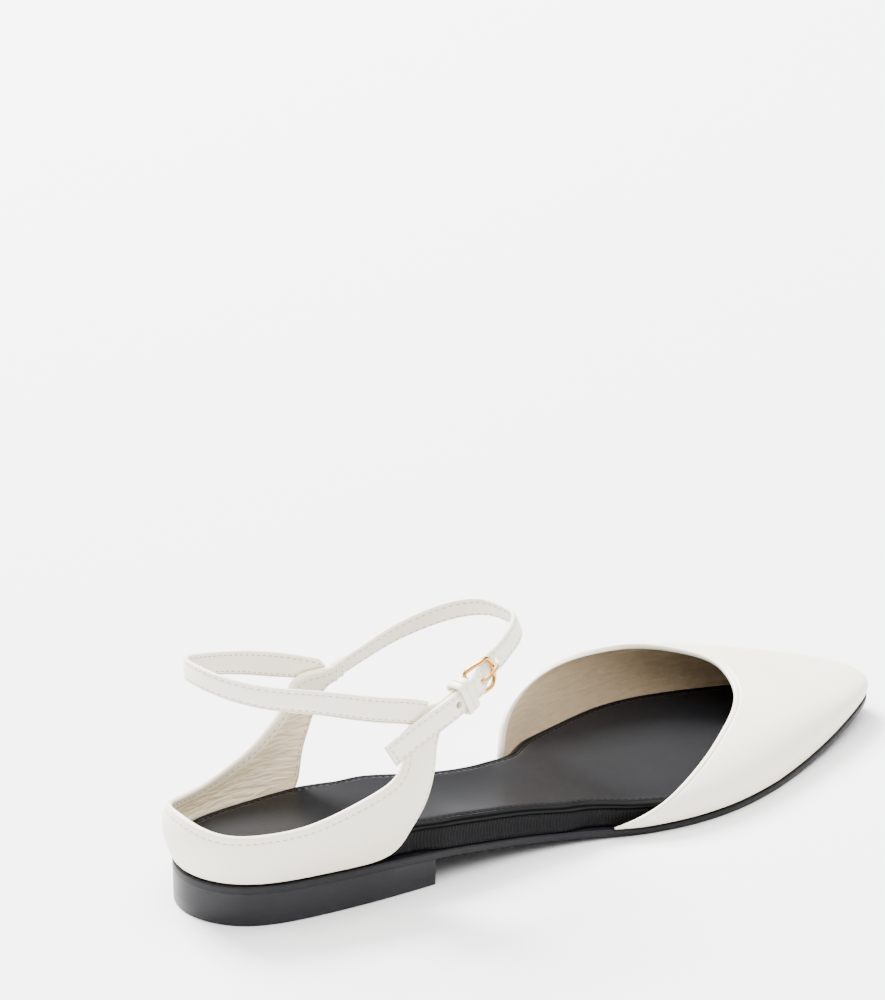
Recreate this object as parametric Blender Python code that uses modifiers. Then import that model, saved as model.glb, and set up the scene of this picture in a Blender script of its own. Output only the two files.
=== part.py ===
# Women's flat shoe, right foot: pointed vamp, low heel counter with two wings, back strap,
# instep strap with a small buckle on the outer side. +Y runs to the toe, +X to the outer side
# of the foot and +Z up. The origin is on the floor under the middle of the heel.

import bpy
import bmesh
import math
import numpy as np
from mathutils import Matrix, Vector

# Sole sizes, in metres
SOLE_LENGTH = 0.262
BALL_WIDTH = 0.077
WAIST_WIDTH = 0.044
HEEL_WIDTH = 0.051
HEEL_REST_SETBACK = 0.035
HEEL_SEAT_HEIGHT = 0.0135
OUTSOLE_THICKNESS = 0.0024
FOREPART_THICKNESS = 0.0022
TOE_SPRING = 0.0065
BREAST_SETBACK = 0.0715

# Footbed sizes
FOOTBED_THICKNESS = 0.0085
FOOTBED_SIDE_INSET = 0.0010
FOOTBED_EDGE_RADIUS = 0.0012
FOOTBED_TILT = 0.055
FOOTBED_TOE_INSET = 0.0030

# Upper sizes
VAMP_WALL = 0.0017
COUNTER_WALL = 0.0020
FEATHER_INSET = 0.0003
VAMP_TUCK = 0.0018
THROAT_HEIGHT = 0.0215
COUNTER_BULGE = 0.0026
WING_HEIGHT = 0.0560

# Strap and buckle sizes
STRAP_WIDTH = 0.0082
STRAP_THICKNESS = 0.0016
ANKLE_HALF_WIDTH = 0.0255
BACK_STRAP_HEIGHT = 0.0765
INSTEP_STRAP_HEIGHT = 0.0700
KEEPER_WIDTH = 0.0046
KEEPER_THICKNESS = 0.0011
BUCKLE_LENGTH = 0.0112
BUCKLE_WIRE = 0.0012
BUCKLE_CORNER = 0.0016
PRONG_WIRE = 0.0010
HOLE_DIAMETER = 0.0024
HOLE_PITCH = 0.0110
PRONG_HOLE_AT = 0.0022
ROLL_WALL = 0.0006
ROLL_LENGTH = 0.0056
PRONG_SLOT = 0.0021
STRAP_RISE = 0.0007
STRAP_DIP = 0.0008

# Gap between touching pieces
GAP = 0.0003

OUTLINE_STEPS = 26
DENSE_STEPS = 600
# Share of the length over which the footbed widens from the upper's inside to the bare waist
FOOTBED_BLEND = 0.044
WIRE_SIDES = 10
PRONG_STEPS = 28

# Plan of the sole, a row per station: share of the sole length, the width that the row follows,
# and the share of it from the centre line to the edge
OUTER_EDGE = [
    (0.020, HEEL_WIDTH, 0.300),
    (0.050, HEEL_WIDTH, 0.400),
    (0.100, HEEL_WIDTH, 0.468),
    (0.170, HEEL_WIDTH, 0.510),
    (0.250, HEEL_WIDTH, 0.530),
    (0.350, WAIST_WIDTH, 0.610),
    (0.430, WAIST_WIDTH, 0.632),
    (0.500, BALL_WIDTH, 0.408),
    (0.570, BALL_WIDTH, 0.478),
    (0.630, BALL_WIDTH, 0.508),
    (0.690, BALL_WIDTH, 0.497),
    (0.750, BALL_WIDTH, 0.449),
    (0.810, BALL_WIDTH, 0.376),
    (0.870, BALL_WIDTH, 0.292),
    (0.920, BALL_WIDTH, 0.214),
    (0.960, BALL_WIDTH, 0.142),
    (0.987, BALL_WIDTH, 0.072),
]
INNER_EDGE = [
    (0.020, HEEL_WIDTH, 0.335),
    (0.050, HEEL_WIDTH, 0.415),
    (0.100, HEEL_WIDTH, 0.462),
    (0.170, HEEL_WIDTH, 0.475),
    (0.250, HEEL_WIDTH, 0.445),
    (0.340, WAIST_WIDTH, 0.390),
    (0.420, WAIST_WIDTH, 0.340),
    (0.480, BALL_WIDTH, 0.235),
    (0.530, BALL_WIDTH, 0.330),
    (0.590, BALL_WIDTH, 0.405),
    (0.650, BALL_WIDTH, 0.462),
    (0.710, BALL_WIDTH, 0.491),
    (0.770, BALL_WIDTH, 0.478),
    (0.830, BALL_WIDTH, 0.424),
    (0.880, BALL_WIDTH, 0.358),
    (0.925, BALL_WIDTH, 0.286),
    (0.960, BALL_WIDTH, 0.214),
    (0.987, BALL_WIDTH, 0.138),
]
HEEL_POINT = (-0.007, HEEL_WIDTH, -0.020)
TOE_POINT = (1.0, BALL_WIDTH, -0.032)

# Side view of the outsole's top, a row per station: share of the length, the height that the
# row follows and the share of it
SEAT_LINE = [
    (0.000, HEEL_SEAT_HEIGHT, 1.00),
    (0.100, HEEL_SEAT_HEIGHT, 0.97),
    (0.200, HEEL_SEAT_HEIGHT, 0.92),
    (0.290, HEEL_SEAT_HEIGHT, 0.79),
    (0.350, HEEL_SEAT_HEIGHT, 0.63),
    (0.400, HEEL_SEAT_HEIGHT, 0.50),
    (0.450, HEEL_SEAT_HEIGHT, 0.37),
    (0.500, HEEL_SEAT_HEIGHT, 0.265),
    (0.560, FOREPART_THICKNESS, 1.00),
    (0.770, FOREPART_THICKNESS, 1.00),
]
TOE_LINE = [
    (0.770, 0.00),
    (0.820, 0.09),
    (0.870, 0.26),
    (0.930, 0.58),
    (1.000, 1.00),
]
# Thickness of the outsole and of the footbed along the length
OUTSOLE_LINE = [
    (0.000, OUTSOLE_THICKNESS, 1.00),
    (0.400, OUTSOLE_THICKNESS, 1.00),
    (0.500, OUTSOLE_THICKNESS, 0.92),
    (0.560, FOREPART_THICKNESS, 1.00),
    (1.000, FOREPART_THICKNESS, 1.00),
]
FOOTBED_LINE = [
    (0.000, 0.82),
    (0.120, 0.85),
    (0.200, 0.92),
    (0.300, 1.00),
    (0.420, 0.98),
    (0.500, 0.98),
    (0.600, 0.85),
    (0.760, 0.72),
    (0.880, 0.56),
    (1.000, 0.40),
]

FOOTBED_TILT_LINE = [
    (0.000, 0.50),
    (0.280, 1.00),
    (0.380, 1.00),
    (0.500, 0.20),
    (0.560, 0.00),
    (1.000, 0.00),
]

# Topline of the vamp from its outer end round the throat to its inner end: share of half the
# ball width to the outer side, share of the length, share of the throat height above the
# outsole, slope of the crown there and fullness of the wall below
TOPLINE = [
    (0.880, 0.513, 0.070, 0.00, 2.2),
    (0.940, 0.540, 0.195, 0.00, 2.2),
    (0.965, 0.574, 0.365, 0.06, 2.2),
    (0.900, 0.617, 0.555, 0.14, 2.3),
    (0.760, 0.664, 0.725, 0.18, 2.4),
    (0.560, 0.710, 0.845, 0.19, 2.7),
    (0.330, 0.752, 0.920, 0.19, 3.2),
    (0.100, 0.780, 0.965, 0.19, 3.7),
    (-0.120, 0.794, 1.015, 0.19, 3.7),
    (-0.330, 0.796, 1.090, 0.19, 3.3),
    (-0.520, 0.781, 1.165, 0.19, 2.9),
    (-0.690, 0.755, 1.230, 0.18, 2.6),
    (-0.820, 0.719, 1.285, 0.16, 2.4),
    (-0.890, 0.676, 1.300, 0.14, 2.3),
    (-0.904, 0.633, 1.285, 0.12, 2.2),
    (-0.878, 0.583, 1.175, 0.08, 2.2),
    (-0.818, 0.543, 0.955, 0.04, 2.2),
    (-0.727, 0.514, 0.640, 0.00, 2.2),
    (-0.600, 0.494, 0.210, 0.00, 2.2),
]
VAMP_OUTER_END = 0.515
VAMP_INNER_END = 0.495
VAMP_COLUMNS = 60
VAMP_ROWS = 11

# Edges of the counter band on each side, from the heel's back to the top of the wing. The foot
# of each wing stands on the outsole at WING_FOOT. A row holds the share of the ankle's half
# width, the share of the length and the share of the wing height
WING_FOOT = 0.205
OUTER_FRONT_EDGE = [
    (1.040, 0.222, 0.275),
    (1.060, 0.239, 0.370),
    (1.065, 0.255, 0.470),
    (1.060, 0.268, 0.595),
    (1.045, 0.275, 0.720),
    (1.035, 0.280, 0.860),
    (1.035, 0.285, 0.920),
]
INNER_FRONT_EDGE = [
    (-0.930, 0.207, 0.360),
    (-0.965, 0.215, 0.505),
    (-1.000, 0.226, 0.640),
    (-1.010, 0.236, 0.755),
    (-1.010, 0.247, 0.850),
    (-1.015, 0.258, 0.885),
    (-1.015, 0.268, 0.895),
]
OUTER_TOP_EDGE = [
    (0.600, 0.004, 0.575),
    (0.850, 0.048, 0.560),
    (0.980, 0.100, 0.570),
    (1.045, 0.153, 0.620),
    (1.060, 0.193, 0.670),
    (1.055, 0.218, 0.725),
    (1.045, 0.228, 0.785),
    (1.025, 0.234, 0.880),
    (1.005, 0.240, 0.970),
    (0.985, 0.256, 1.050),
]
INNER_TOP_EDGE = [
    (-0.510, 0.004, 0.575),
    (-0.775, 0.042, 0.530),
    (-0.885, 0.080, 0.540),
    (-0.935, 0.110, 0.580),
    (-0.972, 0.146, 0.655),
    (-0.985, 0.168, 0.730),
    (-0.985, 0.184, 0.800),
    (-0.975, 0.194, 0.885),
    (-0.960, 0.200, 0.965),
    (-0.945, 0.213, 1.005),
    (-0.915, 0.236, 1.015),
    (-0.890, 0.257, 1.020),
]
COUNTER_BACK_TOP = (0.000, -0.014, 0.615)
COUNTER_ROWS = 7
COUNTER_COLUMNS = 34

# Course of the back strap's centre line, inner end first: share of the ankle's half width, share
# of the length, the height that the row follows and the share of it, lean in degrees and share
# of the strap's width
BACK_STRAP = [
    (-0.962, 0.249, WING_HEIGHT, 0.970, 10, 0.55),
    (-0.968, 0.241, WING_HEIGHT, 0.980, 10, 0.90),
    (-0.982, 0.226, WING_HEIGHT, 1.010, 8, 1.00),
    (-1.010, 0.195, BACK_STRAP_HEIGHT, 0.778, 4, 1.00),
    (-0.950, 0.120, BACK_STRAP_HEIGHT, 0.862, 0, 0.95),
    (-0.720, 0.052, BACK_STRAP_HEIGHT, 0.936, 0, 0.92),
    (-0.370, 0.024, BACK_STRAP_HEIGHT, 0.988, 0, 0.90),
    (0.000, 0.017, BACK_STRAP_HEIGHT, 1.010, 0, 0.90),
    (0.380, 0.024, BACK_STRAP_HEIGHT, 1.008, 0, 0.90),
    (0.710, 0.052, BACK_STRAP_HEIGHT, 0.982, 0, 0.92),
    (0.935, 0.120, BACK_STRAP_HEIGHT, 0.921, 2, 0.95),
    (1.045, 0.200, BACK_STRAP_HEIGHT, 0.833, 4, 1.00),
    (1.050, 0.240, WING_HEIGHT, 1.080, 4, 1.00),
    (1.040, 0.258, WING_HEIGHT, 1.045, 4, 1.00),
]
BACK_STRAP_STEPS = 56

# Course of the instep strap's centre line, inner end first, in the same columns
INSTEP_STRAP = [
    (-0.950, 0.2685, WING_HEIGHT, 0.965, 26, 1.00),
    (-0.945, 0.300, INSTEP_STRAP_HEIGHT, 0.812, 28, 1.00),
    (-0.890, 0.340, INSTEP_STRAP_HEIGHT, 0.874, 28, 1.00),
    (-0.730, 0.380, INSTEP_STRAP_HEIGHT, 0.937, 28, 1.00),
    (-0.470, 0.411, INSTEP_STRAP_HEIGHT, 0.992, 30, 1.00),
    (-0.150, 0.430, INSTEP_STRAP_HEIGHT, 1.021, 32, 1.00),
    (0.180, 0.435, INSTEP_STRAP_HEIGHT, 1.024, 30, 0.98),
    (0.415, 0.431, INSTEP_STRAP_HEIGHT, 1.025, 22, 0.98),
    (0.605, 0.416, INSTEP_STRAP_HEIGHT, 1.010, 13, 1.00),
    (0.765, 0.390, INSTEP_STRAP_HEIGHT, 0.982, 7, 1.00),
    (0.885, 0.364, INSTEP_STRAP_HEIGHT, 0.945, 7, 1.00),
    (0.990, 0.340, INSTEP_STRAP_HEIGHT, 0.913, 7, 1.00),
    (1.067, 0.317, INSTEP_STRAP_HEIGHT, 0.872, 6, 1.00),
    (1.145, 0.250, WING_HEIGHT, 0.975, 5, 1.00),
    (1.120, 0.2055, WING_HEIGHT, 0.870, 5, 1.00),
]
# The buckle's place as a share of the instep strap's course from the inner end, and the steps
# along the strap before, round and behind the buckle
BUCKLE_AT = 0.705
BUCKLE_REACH = 0.075
INSTEP_STRAP_STEPS = (40, 34, 14)

# Side view of the buckle's prong: place along the strap from the buckle's middle, towards the
# free end, and height over the strap's flat course. The first rows curl round the rear bar
PRONG_LINE = [
    (0.00452, -0.00322),
    (0.00382, -0.00268),
    (0.00360, -0.00195),
    (0.00345, -0.00130),
    (0.00300, -0.00070),
    (0.00250, 0.00020),
    (0.00190, 0.00120),
    (0.00110, 0.00195),
    (0.00000, 0.00222),
    (-0.00250, 0.00232),
    (-0.00500, 0.00232),
    (-0.00600, 0.00222),
]


def along(share):
    """Place along the shoe of a share of the sole length."""
    return share * SOLE_LENGTH - HEEL_REST_SETBACK


def profile(rows, shares):
    """Read a table of (share, value) as a smooth line without overshoot."""
    x = np.array([row[0] for row in rows], float)
    y = np.array([row[1] for row in rows], float)
    step = np.diff(x)
    rise = np.diff(y) / step
    slope = np.zeros_like(y)
    slope[0], slope[-1] = rise[0], rise[-1]
    for i in range(1, len(x) - 1):
        if rise[i - 1] * rise[i] > 0:
            w1 = 2 * step[i] + step[i - 1]
            w2 = step[i] + 2 * step[i - 1]
            slope[i] = (w1 + w2) / (w1 / rise[i - 1] + w2 / rise[i])
    shares = np.clip(np.asarray(shares, float), x[0], x[-1])
    i = np.clip(np.searchsorted(x, shares) - 1, 0, len(x) - 2)
    t = (shares - x[i]) / step[i]
    return (
        y[i] * (1 + 2 * t) * (1 - t) ** 2
        + slope[i] * step[i] * t * (1 - t) ** 2
        + y[i + 1] * t * t * (3 - 2 * t)
        + slope[i + 1] * step[i] * t * t * (t - 1)
    )


def smooth_curve(points, count, closed=False, shares=None):
    """Evenly spaced points on a curve with smooth bends through the given points."""
    knots = np.asarray(points, float)
    wrap = 4
    if closed:
        knots = np.vstack([knots[-wrap:], knots, knots[: wrap + 1]])
    chord = np.linalg.norm(np.diff(knots[:, :3], axis=0), axis=1)
    t = np.concatenate([[0.0], np.cumsum(chord)])
    n = len(knots)
    matrix = np.zeros((n, n))
    right = np.zeros_like(knots)
    matrix[0, 0] = matrix[-1, -1] = 1.0
    for i in range(1, n - 1):
        matrix[i, i - 1] = chord[i - 1]
        matrix[i, i] = 2 * (chord[i - 1] + chord[i])
        matrix[i, i + 1] = chord[i]
        right[i] = 6 * (
            (knots[i + 1] - knots[i]) / chord[i] - (knots[i] - knots[i - 1]) / chord[i - 1]
        )
    bend = np.linalg.solve(matrix, right)
    first, last = (t[wrap], t[-1 - wrap]) if closed else (t[0], t[-1])
    at = np.linspace(first, last, DENSE_STEPS)
    i = np.clip(np.searchsorted(t, at) - 1, 0, n - 2)
    h = chord[i][:, None]
    a = (t[i + 1] - at)[:, None] / h
    b = 1 - a
    dense = a * knots[i] + b * knots[i + 1]
    dense += ((a ** 3 - a) * bend[i] + (b ** 3 - b) * bend[i + 1]) * h * h / 6
    length = np.linalg.norm(np.diff(dense[:, :3], axis=0), axis=1)
    run = np.concatenate([[0.0], np.cumsum(length)])
    wanted = np.linspace(0, 1, count) if shares is None else np.asarray(shares)
    return np.stack(
        [np.interp(wanted * run[-1], run, dense[:, k]) for k in range(dense.shape[1])], 1
    )


def outline():
    """The sole's plan as a closed curve from the heel's back round the outer side."""
    rows = [(HEEL_POINT[1] * HEEL_POINT[2], along(HEEL_POINT[0]))]
    rows += [(width * share, along(station)) for station, width, share in OUTER_EDGE]
    rows += [(TOE_POINT[1] * TOE_POINT[2], along(TOE_POINT[0]))]
    rows += [(-width * share, along(station)) for station, width, share in reversed(INNER_EDGE)]
    return smooth_curve(rows, DENSE_STEPS, closed=True)


def seat_height(y):
    """Height of the outsole's top at a place along the shoe."""
    share = (np.asarray(y) + HEEL_REST_SETBACK) / SOLE_LENGTH
    seat = profile([(s, size * part) for s, size, part in SEAT_LINE], share)
    return seat + TOE_SPRING * profile(TOE_LINE, share)


def outsole_underside(y):
    """Height of the outsole's underside, zero under the ball."""
    share = (np.asarray(y) + HEEL_REST_SETBACK) / SOLE_LENGTH
    thick = profile([(s, size * part) for s, size, part in OUTSOLE_LINE], share)
    return np.maximum(seat_height(y) - thick, 0.0)


def footbed_top(y, x):
    """Height of the footbed's top, a little higher on the outer side of the waist."""
    share = (np.asarray(y) + HEEL_REST_SETBACK) / SOLE_LENGTH
    tilt = FOOTBED_TILT * profile(FOOTBED_TILT_LINE, share)
    return seat_height(y) + FOOTBED_THICKNESS * profile(FOOTBED_LINE, share) + tilt * x


def moved_inward(curve, distance):
    """A closed plan curve moved inward by a distance that may vary along it."""
    ahead = np.roll(curve[:-1], -1, axis=0) - np.roll(curve[:-1], 1, axis=0)
    ahead = np.vstack([ahead, ahead[:1]])
    ahead /= np.linalg.norm(ahead, axis=1)[:, None]
    inward = np.stack([-ahead[:, 1], ahead[:, 0]], 1)
    return curve + inward * np.reshape(distance, (-1, 1))


def two_sides(curve, steps, front=None):
    """Outer and inner edge of a plan curve at the same places along the shoe."""
    back, toe = np.argmin(curve[:, 1]), np.argmax(curve[:, 1])
    order = np.roll(curve[:-1], -back, axis=0)
    order = np.vstack([order, order[:1]])
    tip = np.argmax(order[:, 1])
    y0, y1 = order[0, 1], curve[toe, 1]
    if front is None:
        shares = (1 - np.cos(np.linspace(0, math.pi, steps))) / 2
        y = y0 + (y1 - y0) * shares
    else:
        shares = 1 - np.cos(np.linspace(0, math.pi / 2, steps))
        y = y0 + (front - y0) * shares
    outer = np.interp(y, order[: tip + 1, 1], order[: tip + 1, 0])
    inner = np.interp(y, order[tip:, 1][::-1], order[tip:, 0][::-1])
    return y, outer, inner


def object_from(mesh, name, material):
    obj = bpy.data.objects.new(name, mesh)
    mesh.materials.append(material)
    SHOE.objects.link(obj)
    return obj


def slab(name, levels, material):
    """Closed solid stacked from plan outlines, each (y, outer x, inner x, outer z, inner z)."""
    body = bmesh.new()
    rows = []
    for y, outer, inner, outer_z, inner_z in levels:
        outer_row = [body.verts.new(p) for p in zip(outer, y, outer_z)]
        inner_row = [body.verts.new(p) for p in zip(inner, y, inner_z)]
        rows.append((outer_row, inner_row))
    count = len(levels[0][0])
    for (outer_a, inner_a), (outer_b, inner_b) in zip(rows, rows[1:]):
        for k in range(count - 1):
            body.faces.new((outer_a[k], outer_a[k + 1], outer_b[k + 1], outer_b[k]))
            body.faces.new((inner_a[k + 1], inner_a[k], inner_b[k], inner_b[k + 1]))
        for k in (0, count - 1):
            if (outer_a[k].co - inner_a[k].co).length > GAP:
                body.faces.new((outer_a[k], inner_a[k], inner_b[k], outer_b[k]))
    for outer_row, inner_row in (rows[0], rows[-1]):
        for k in range(count - 1):
            body.faces.new((outer_row[k], outer_row[k + 1], inner_row[k + 1], inner_row[k]))
    bmesh.ops.remove_doubles(body, verts=body.verts, dist=1e-6)
    bmesh.ops.recalc_face_normals(body, faces=body.faces)
    mesh = bpy.data.meshes.new(name)
    body.to_mesh(mesh)
    body.free()
    mesh.set_sharp_from_angle(angle=math.radians(35))
    return object_from(mesh, name, material)


def open_sheet(name, grid, material, thickness, side, edge=0.0):
    """Open surface through a grid of points, given its wall by Solidify."""
    rows, columns = grid.shape[:2]
    body = bmesh.new()
    bmesh.ops.create_grid(body, x_segments=columns - 1, y_segments=rows - 1, size=1)
    body.verts.ensure_lookup_table()
    for vert, point in zip(body.verts, grid.reshape(-1, 3)):
        vert.co = point
    bmesh.ops.remove_doubles(body, verts=body.verts, dist=1e-6)
    mesh = bpy.data.meshes.new(name)
    body.to_mesh(mesh)
    body.free()
    obj = object_from(mesh, name, material)
    wall = obj.modifiers.new("wall", "SOLIDIFY")
    wall.thickness = thickness
    wall.offset = side
    wall.use_even_offset = False
    if edge:
        rim = obj.modifiers.new("rim", "BEVEL")
        rim.width = edge
        rim.segments = 1
        rim.limit_method = "ANGLE"
        rim.angle_limit = math.radians(60)
    return obj


def finish(name, colour, roughness, metallic=0.0):
    material = bpy.data.materials.new(name)
    material.use_nodes = True
    shader = material.node_tree.nodes["Principled BSDF"]
    shader.inputs["Base Color"].default_value = (*colour, 1.0)
    shader.inputs["Roughness"].default_value = roughness
    shader.inputs["Metallic"].default_value = metallic
    return material


def upper_inset():
    """Inset of the footbed's side from the sole's edge, more where the upper lies outside it."""
    plan = outline()
    share = (plan[:, 1] + HEEL_REST_SETBACK) / SOLE_LENGTH
    covered = FEATHER_INSET + max(VAMP_WALL, COUNTER_WALL) + 2 * GAP
    rise = np.clip((share - WING_FOOT - FOOTBED_BLEND) / FOOTBED_BLEND, 0, 1)
    fall = np.clip((VAMP_INNER_END - share) / FOOTBED_BLEND, 0, 1)
    bare = np.minimum(rise, fall)
    bare = bare * bare * (3 - 2 * bare)
    toe = np.clip((share - VAMP_OUTER_END) / (1 - VAMP_OUTER_END), 0, 1)
    return covered + (FOOTBED_SIDE_INSET - covered) * bare + FOOTBED_TOE_INSET * toe * toe


def make_outsole(material):
    plan = outline()
    levels = []
    for inset, part in ((0.0006, 0.0), (0.0, 0.2), (0.0, 0.8), (0.0005, 1.0)):
        y, outer, inner = two_sides(moved_inward(plan, inset), OUTLINE_STEPS)
        low, high = outsole_underside(y), seat_height(y)
        z = low + (high - low) * part
        levels.append((y, outer, inner, z, z))
    return slab("outsole", levels, material)


def make_heel(material):
    plan = outline()
    front = BREAST_SETBACK - HEEL_REST_SETBACK
    levels = []
    for inset, part in ((0.0007, 0.0), (0.0003, 0.12), (0.0, 1.0)):
        y, outer, inner = two_sides(moved_inward(plan, inset), OUTLINE_STEPS // 2, front)
        z = (outsole_underside(y) - GAP) * part
        levels.append((y, outer, inner, z, z))
    return slab("heel", levels, material)


def make_insole(material):
    plan = outline()
    side = upper_inset()
    radius = FOOTBED_EDGE_RADIUS
    levels = []
    for inset, drop in ((0.0, None), (0.0, radius), (radius * 0.3, radius * 0.3), (radius, 0.0)):
        y, outer, inner = two_sides(moved_inward(plan, side + inset), OUTLINE_STEPS)
        if drop is None:
            outer_z = inner_z = seat_height(y) + GAP
        else:
            outer_z = footbed_top(y, outer) - drop
            inner_z = footbed_top(y, inner) - drop
        levels.append((y, outer, inner, outer_z, inner_z))
    return slab("insole", levels, material)


def make_vamp(material):
    plan = moved_inward(outline(), FEATHER_INSET)
    y = plan[:, 1]
    tip = np.argmax(y)
    start = np.argmax(y[:tip] > along(VAMP_OUTER_END))
    end = tip + np.argmax(y[tip:] < along(VAMP_INNER_END))
    feather = smooth_curve(plan[start : end + 1 : 4], VAMP_COLUMNS)
    half = BALL_WIDTH / 2
    rows = []
    for side, station, up, slope, full in TOPLINE:
        place = along(station)
        rows.append((half * side, place, seat_height(place) + THROAT_HEIGHT * up, slope, full))
    rim = smooth_curve(rows, VAMP_COLUMNS)
    ahead = np.gradient(feather, axis=0)
    outward = np.stack([ahead[:, 1], -ahead[:, 0]], 1)
    outward /= np.linalg.norm(outward, axis=1)[:, None]
    grid = np.zeros((VAMP_ROWS, VAMP_COLUMNS, 3))
    for column in range(VAMP_COLUMNS):
        foot = np.array([*feather[column], seat_height(feather[column][1]) + GAP])
        top, slope, full = rim[column][:3], rim[column][3], rim[column][4]
        run = np.linalg.norm(top[:2] - foot[:2])
        rise = top[2] - foot[2] - slope * run
        angle = np.linspace(0, math.pi / 2, 81)
        inward = 1 - np.cos(angle) ** (2 / full)
        upward = np.sin(angle) ** (2 / full)
        line = foot + np.outer(inward, [*(top[:2] - foot[:2]), 0])
        line[:, 2] = foot[2] + rise * upward + slope * run * inward
        tuck = VAMP_TUCK * np.sin(math.pi * np.linspace(0, 1, 81) ** 0.7)
        line[:, :2] += np.outer(tuck, outward[column])
        shares = np.linspace(0, 1, VAMP_ROWS) ** 1.3
        grid[:, column] = smooth_curve(line[::4], VAMP_ROWS, shares=shares)
    return open_sheet("vamp", grid, material, VAMP_WALL, -1)


def counter_edge(rows):
    """Points of a table of the counter's edge."""
    half = ANKLE_HALF_WIDTH
    return [(half * side, along(station), WING_HEIGHT * up) for side, station, up in rows]


def counter_half(plan, side, front_rows, top_rows, beyond, front_end, top_end):
    """Lower and upper edge of one half of the counter band, from the back to its front end."""
    stations, outer, inner = two_sides(plan, 60, along(WING_FOOT))
    edge = outer if side > 0 else inner
    foot = [(x, y, seat_height(y) + GAP) for x, y in zip(edge[::6], stations[::6])]
    lower = smooth_curve(foot + counter_edge(front_rows) + front_end, COUNTER_COLUMNS)
    knots = counter_edge([beyond, COUNTER_BACK_TOP] + top_rows) + top_end
    run = run_along(np.array(knots))
    shares = np.linspace(run[1] / run[-1], 1, COUNTER_COLUMNS)
    return lower, smooth_curve(knots, COUNTER_COLUMNS, shares=shares)


def run_along(centre):
    """Distance along a chain of points."""
    return np.concatenate([[0], np.cumsum(np.linalg.norm(np.diff(centre, axis=0), axis=1))])


def frames(centre, lean):
    """Directions along, out of and across a strap whose centre line and lean are given."""
    forward = np.gradient(centre, axis=0)
    forward /= np.linalg.norm(forward, axis=1)[:, None]
    flat_out = np.stack([forward[:, 1], -forward[:, 0], np.zeros(len(centre))], 1)
    flat_out /= np.linalg.norm(flat_out, axis=1)[:, None]
    middle = np.array([0.0, along(0.22), 0.0])
    inside = np.sum(flat_out * (centre - middle), axis=1).mean() < 0
    flat_out *= -1 if inside else 1
    up = np.cross(forward, flat_out)
    up *= np.sign(up[:, 2])[:, None]
    angle = np.radians(lean)[:, None]
    outward = flat_out * np.cos(angle) + up * np.sin(angle)
    upward = up * np.cos(angle) - flat_out * np.sin(angle)
    return forward, outward, upward


def strap_course(rows, count, shares=None):
    """Course of a strap: centre line, directions along, out and across, width share."""
    half = ANKLE_HALF_WIDTH
    points = [(half * s, along(y), h * z, lean, width) for s, y, h, z, lean, width in rows]
    line = smooth_curve(points, count, shares=shares)
    return (line[:, :3], *frames(line[:, :3], line[:, 3]), line[:, 4])


def frame_on(course, distance):
    """Frame on the instep strap at a distance from the buckle towards the strap's free end."""
    run = run_along(course[0])
    at = BUCKLE_AT * run[-1] + distance
    return [
        np.array([np.interp(at, run, part[:, k]) for k in range(3)]) for part in course[:4]
    ]


def on_strap(course, distance, across, out):
    """Point beside the instep strap's flat course, in its own directions."""
    centre, _, outward, upward = frame_on(course, distance)
    return centre + upward * across + outward * out


def strap_lift(distance):
    """Lift of the instep strap over the buckle's rear bar, and its dip under the front."""
    bar = buckle_half_length()
    over = STRAP_RISE * np.exp(-((distance - bar * 0.70) / (bar * 0.55)) ** 4)
    under = STRAP_DIP * np.exp(-((distance + bar * 0.90) / (bar * 0.85)) ** 4)
    return over - under


def buckle_half_length():
    """Half the length between the buckle's rear bar and its front, on their centre lines."""
    return (BUCKLE_LENGTH - BUCKLE_WIRE) / 2


def roll_radius():
    """Outer radius of the buckle strap's fold round the rear bar."""
    return BUCKLE_WIRE / 2 + GAP + ROLL_WALL


def rear_bar_height():
    """Height of the buckle's rear bar over the flat course of the strap."""
    return STRAP_RISE - STRAP_THICKNESS / 2 - GAP - roll_radius()


def boolean(obj, cutter, operation):
    """Add an exact Boolean and hide the object that it uses."""
    mod = obj.modifiers.new(operation.lower(), "BOOLEAN")
    mod.operation = operation
    mod.solver = "EXACT"
    mod.object = cutter
    if cutter.name in SHOE.objects:
        SHOE.objects.unlink(cutter)
    HELPERS.objects.link(cutter)
    cutter.hide_render = True
    cutter.display_type = "WIRE"


def rod(name, start, end, radius, sides):
    """Straight round rod between two points."""
    body = bmesh.new()
    start, end = Vector(start), Vector(end)
    turn = Vector((0, 0, 1)).rotation_difference(end - start).to_matrix().to_4x4()
    bmesh.ops.create_cone(
        body, cap_ends=True, segments=sides, radius1=radius, radius2=radius,
        depth=(end - start).length, matrix=Matrix.Translation((start + end) / 2) @ turn,
    )
    mesh = bpy.data.meshes.new(name)
    body.to_mesh(mesh)
    body.free()
    return bpy.data.objects.new(name, mesh)


def block(name, course, places, across, outs):
    """Box in the strap's directions between two places, half as wide as across each way."""
    body = bmesh.new()
    bmesh.ops.create_cube(body, size=1)
    for vert in body.verts:
        place = places[vert.co.x > 0]
        out = outs[vert.co.z > 0]
        vert.co = on_strap(course, place, across * math.copysign(1, vert.co.y), out)
    body.normal_update()
    bmesh.ops.recalc_face_normals(body, faces=body.faces)
    mesh = bpy.data.meshes.new(name)
    body.to_mesh(mesh)
    body.free()
    return bpy.data.objects.new(name, mesh)


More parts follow.
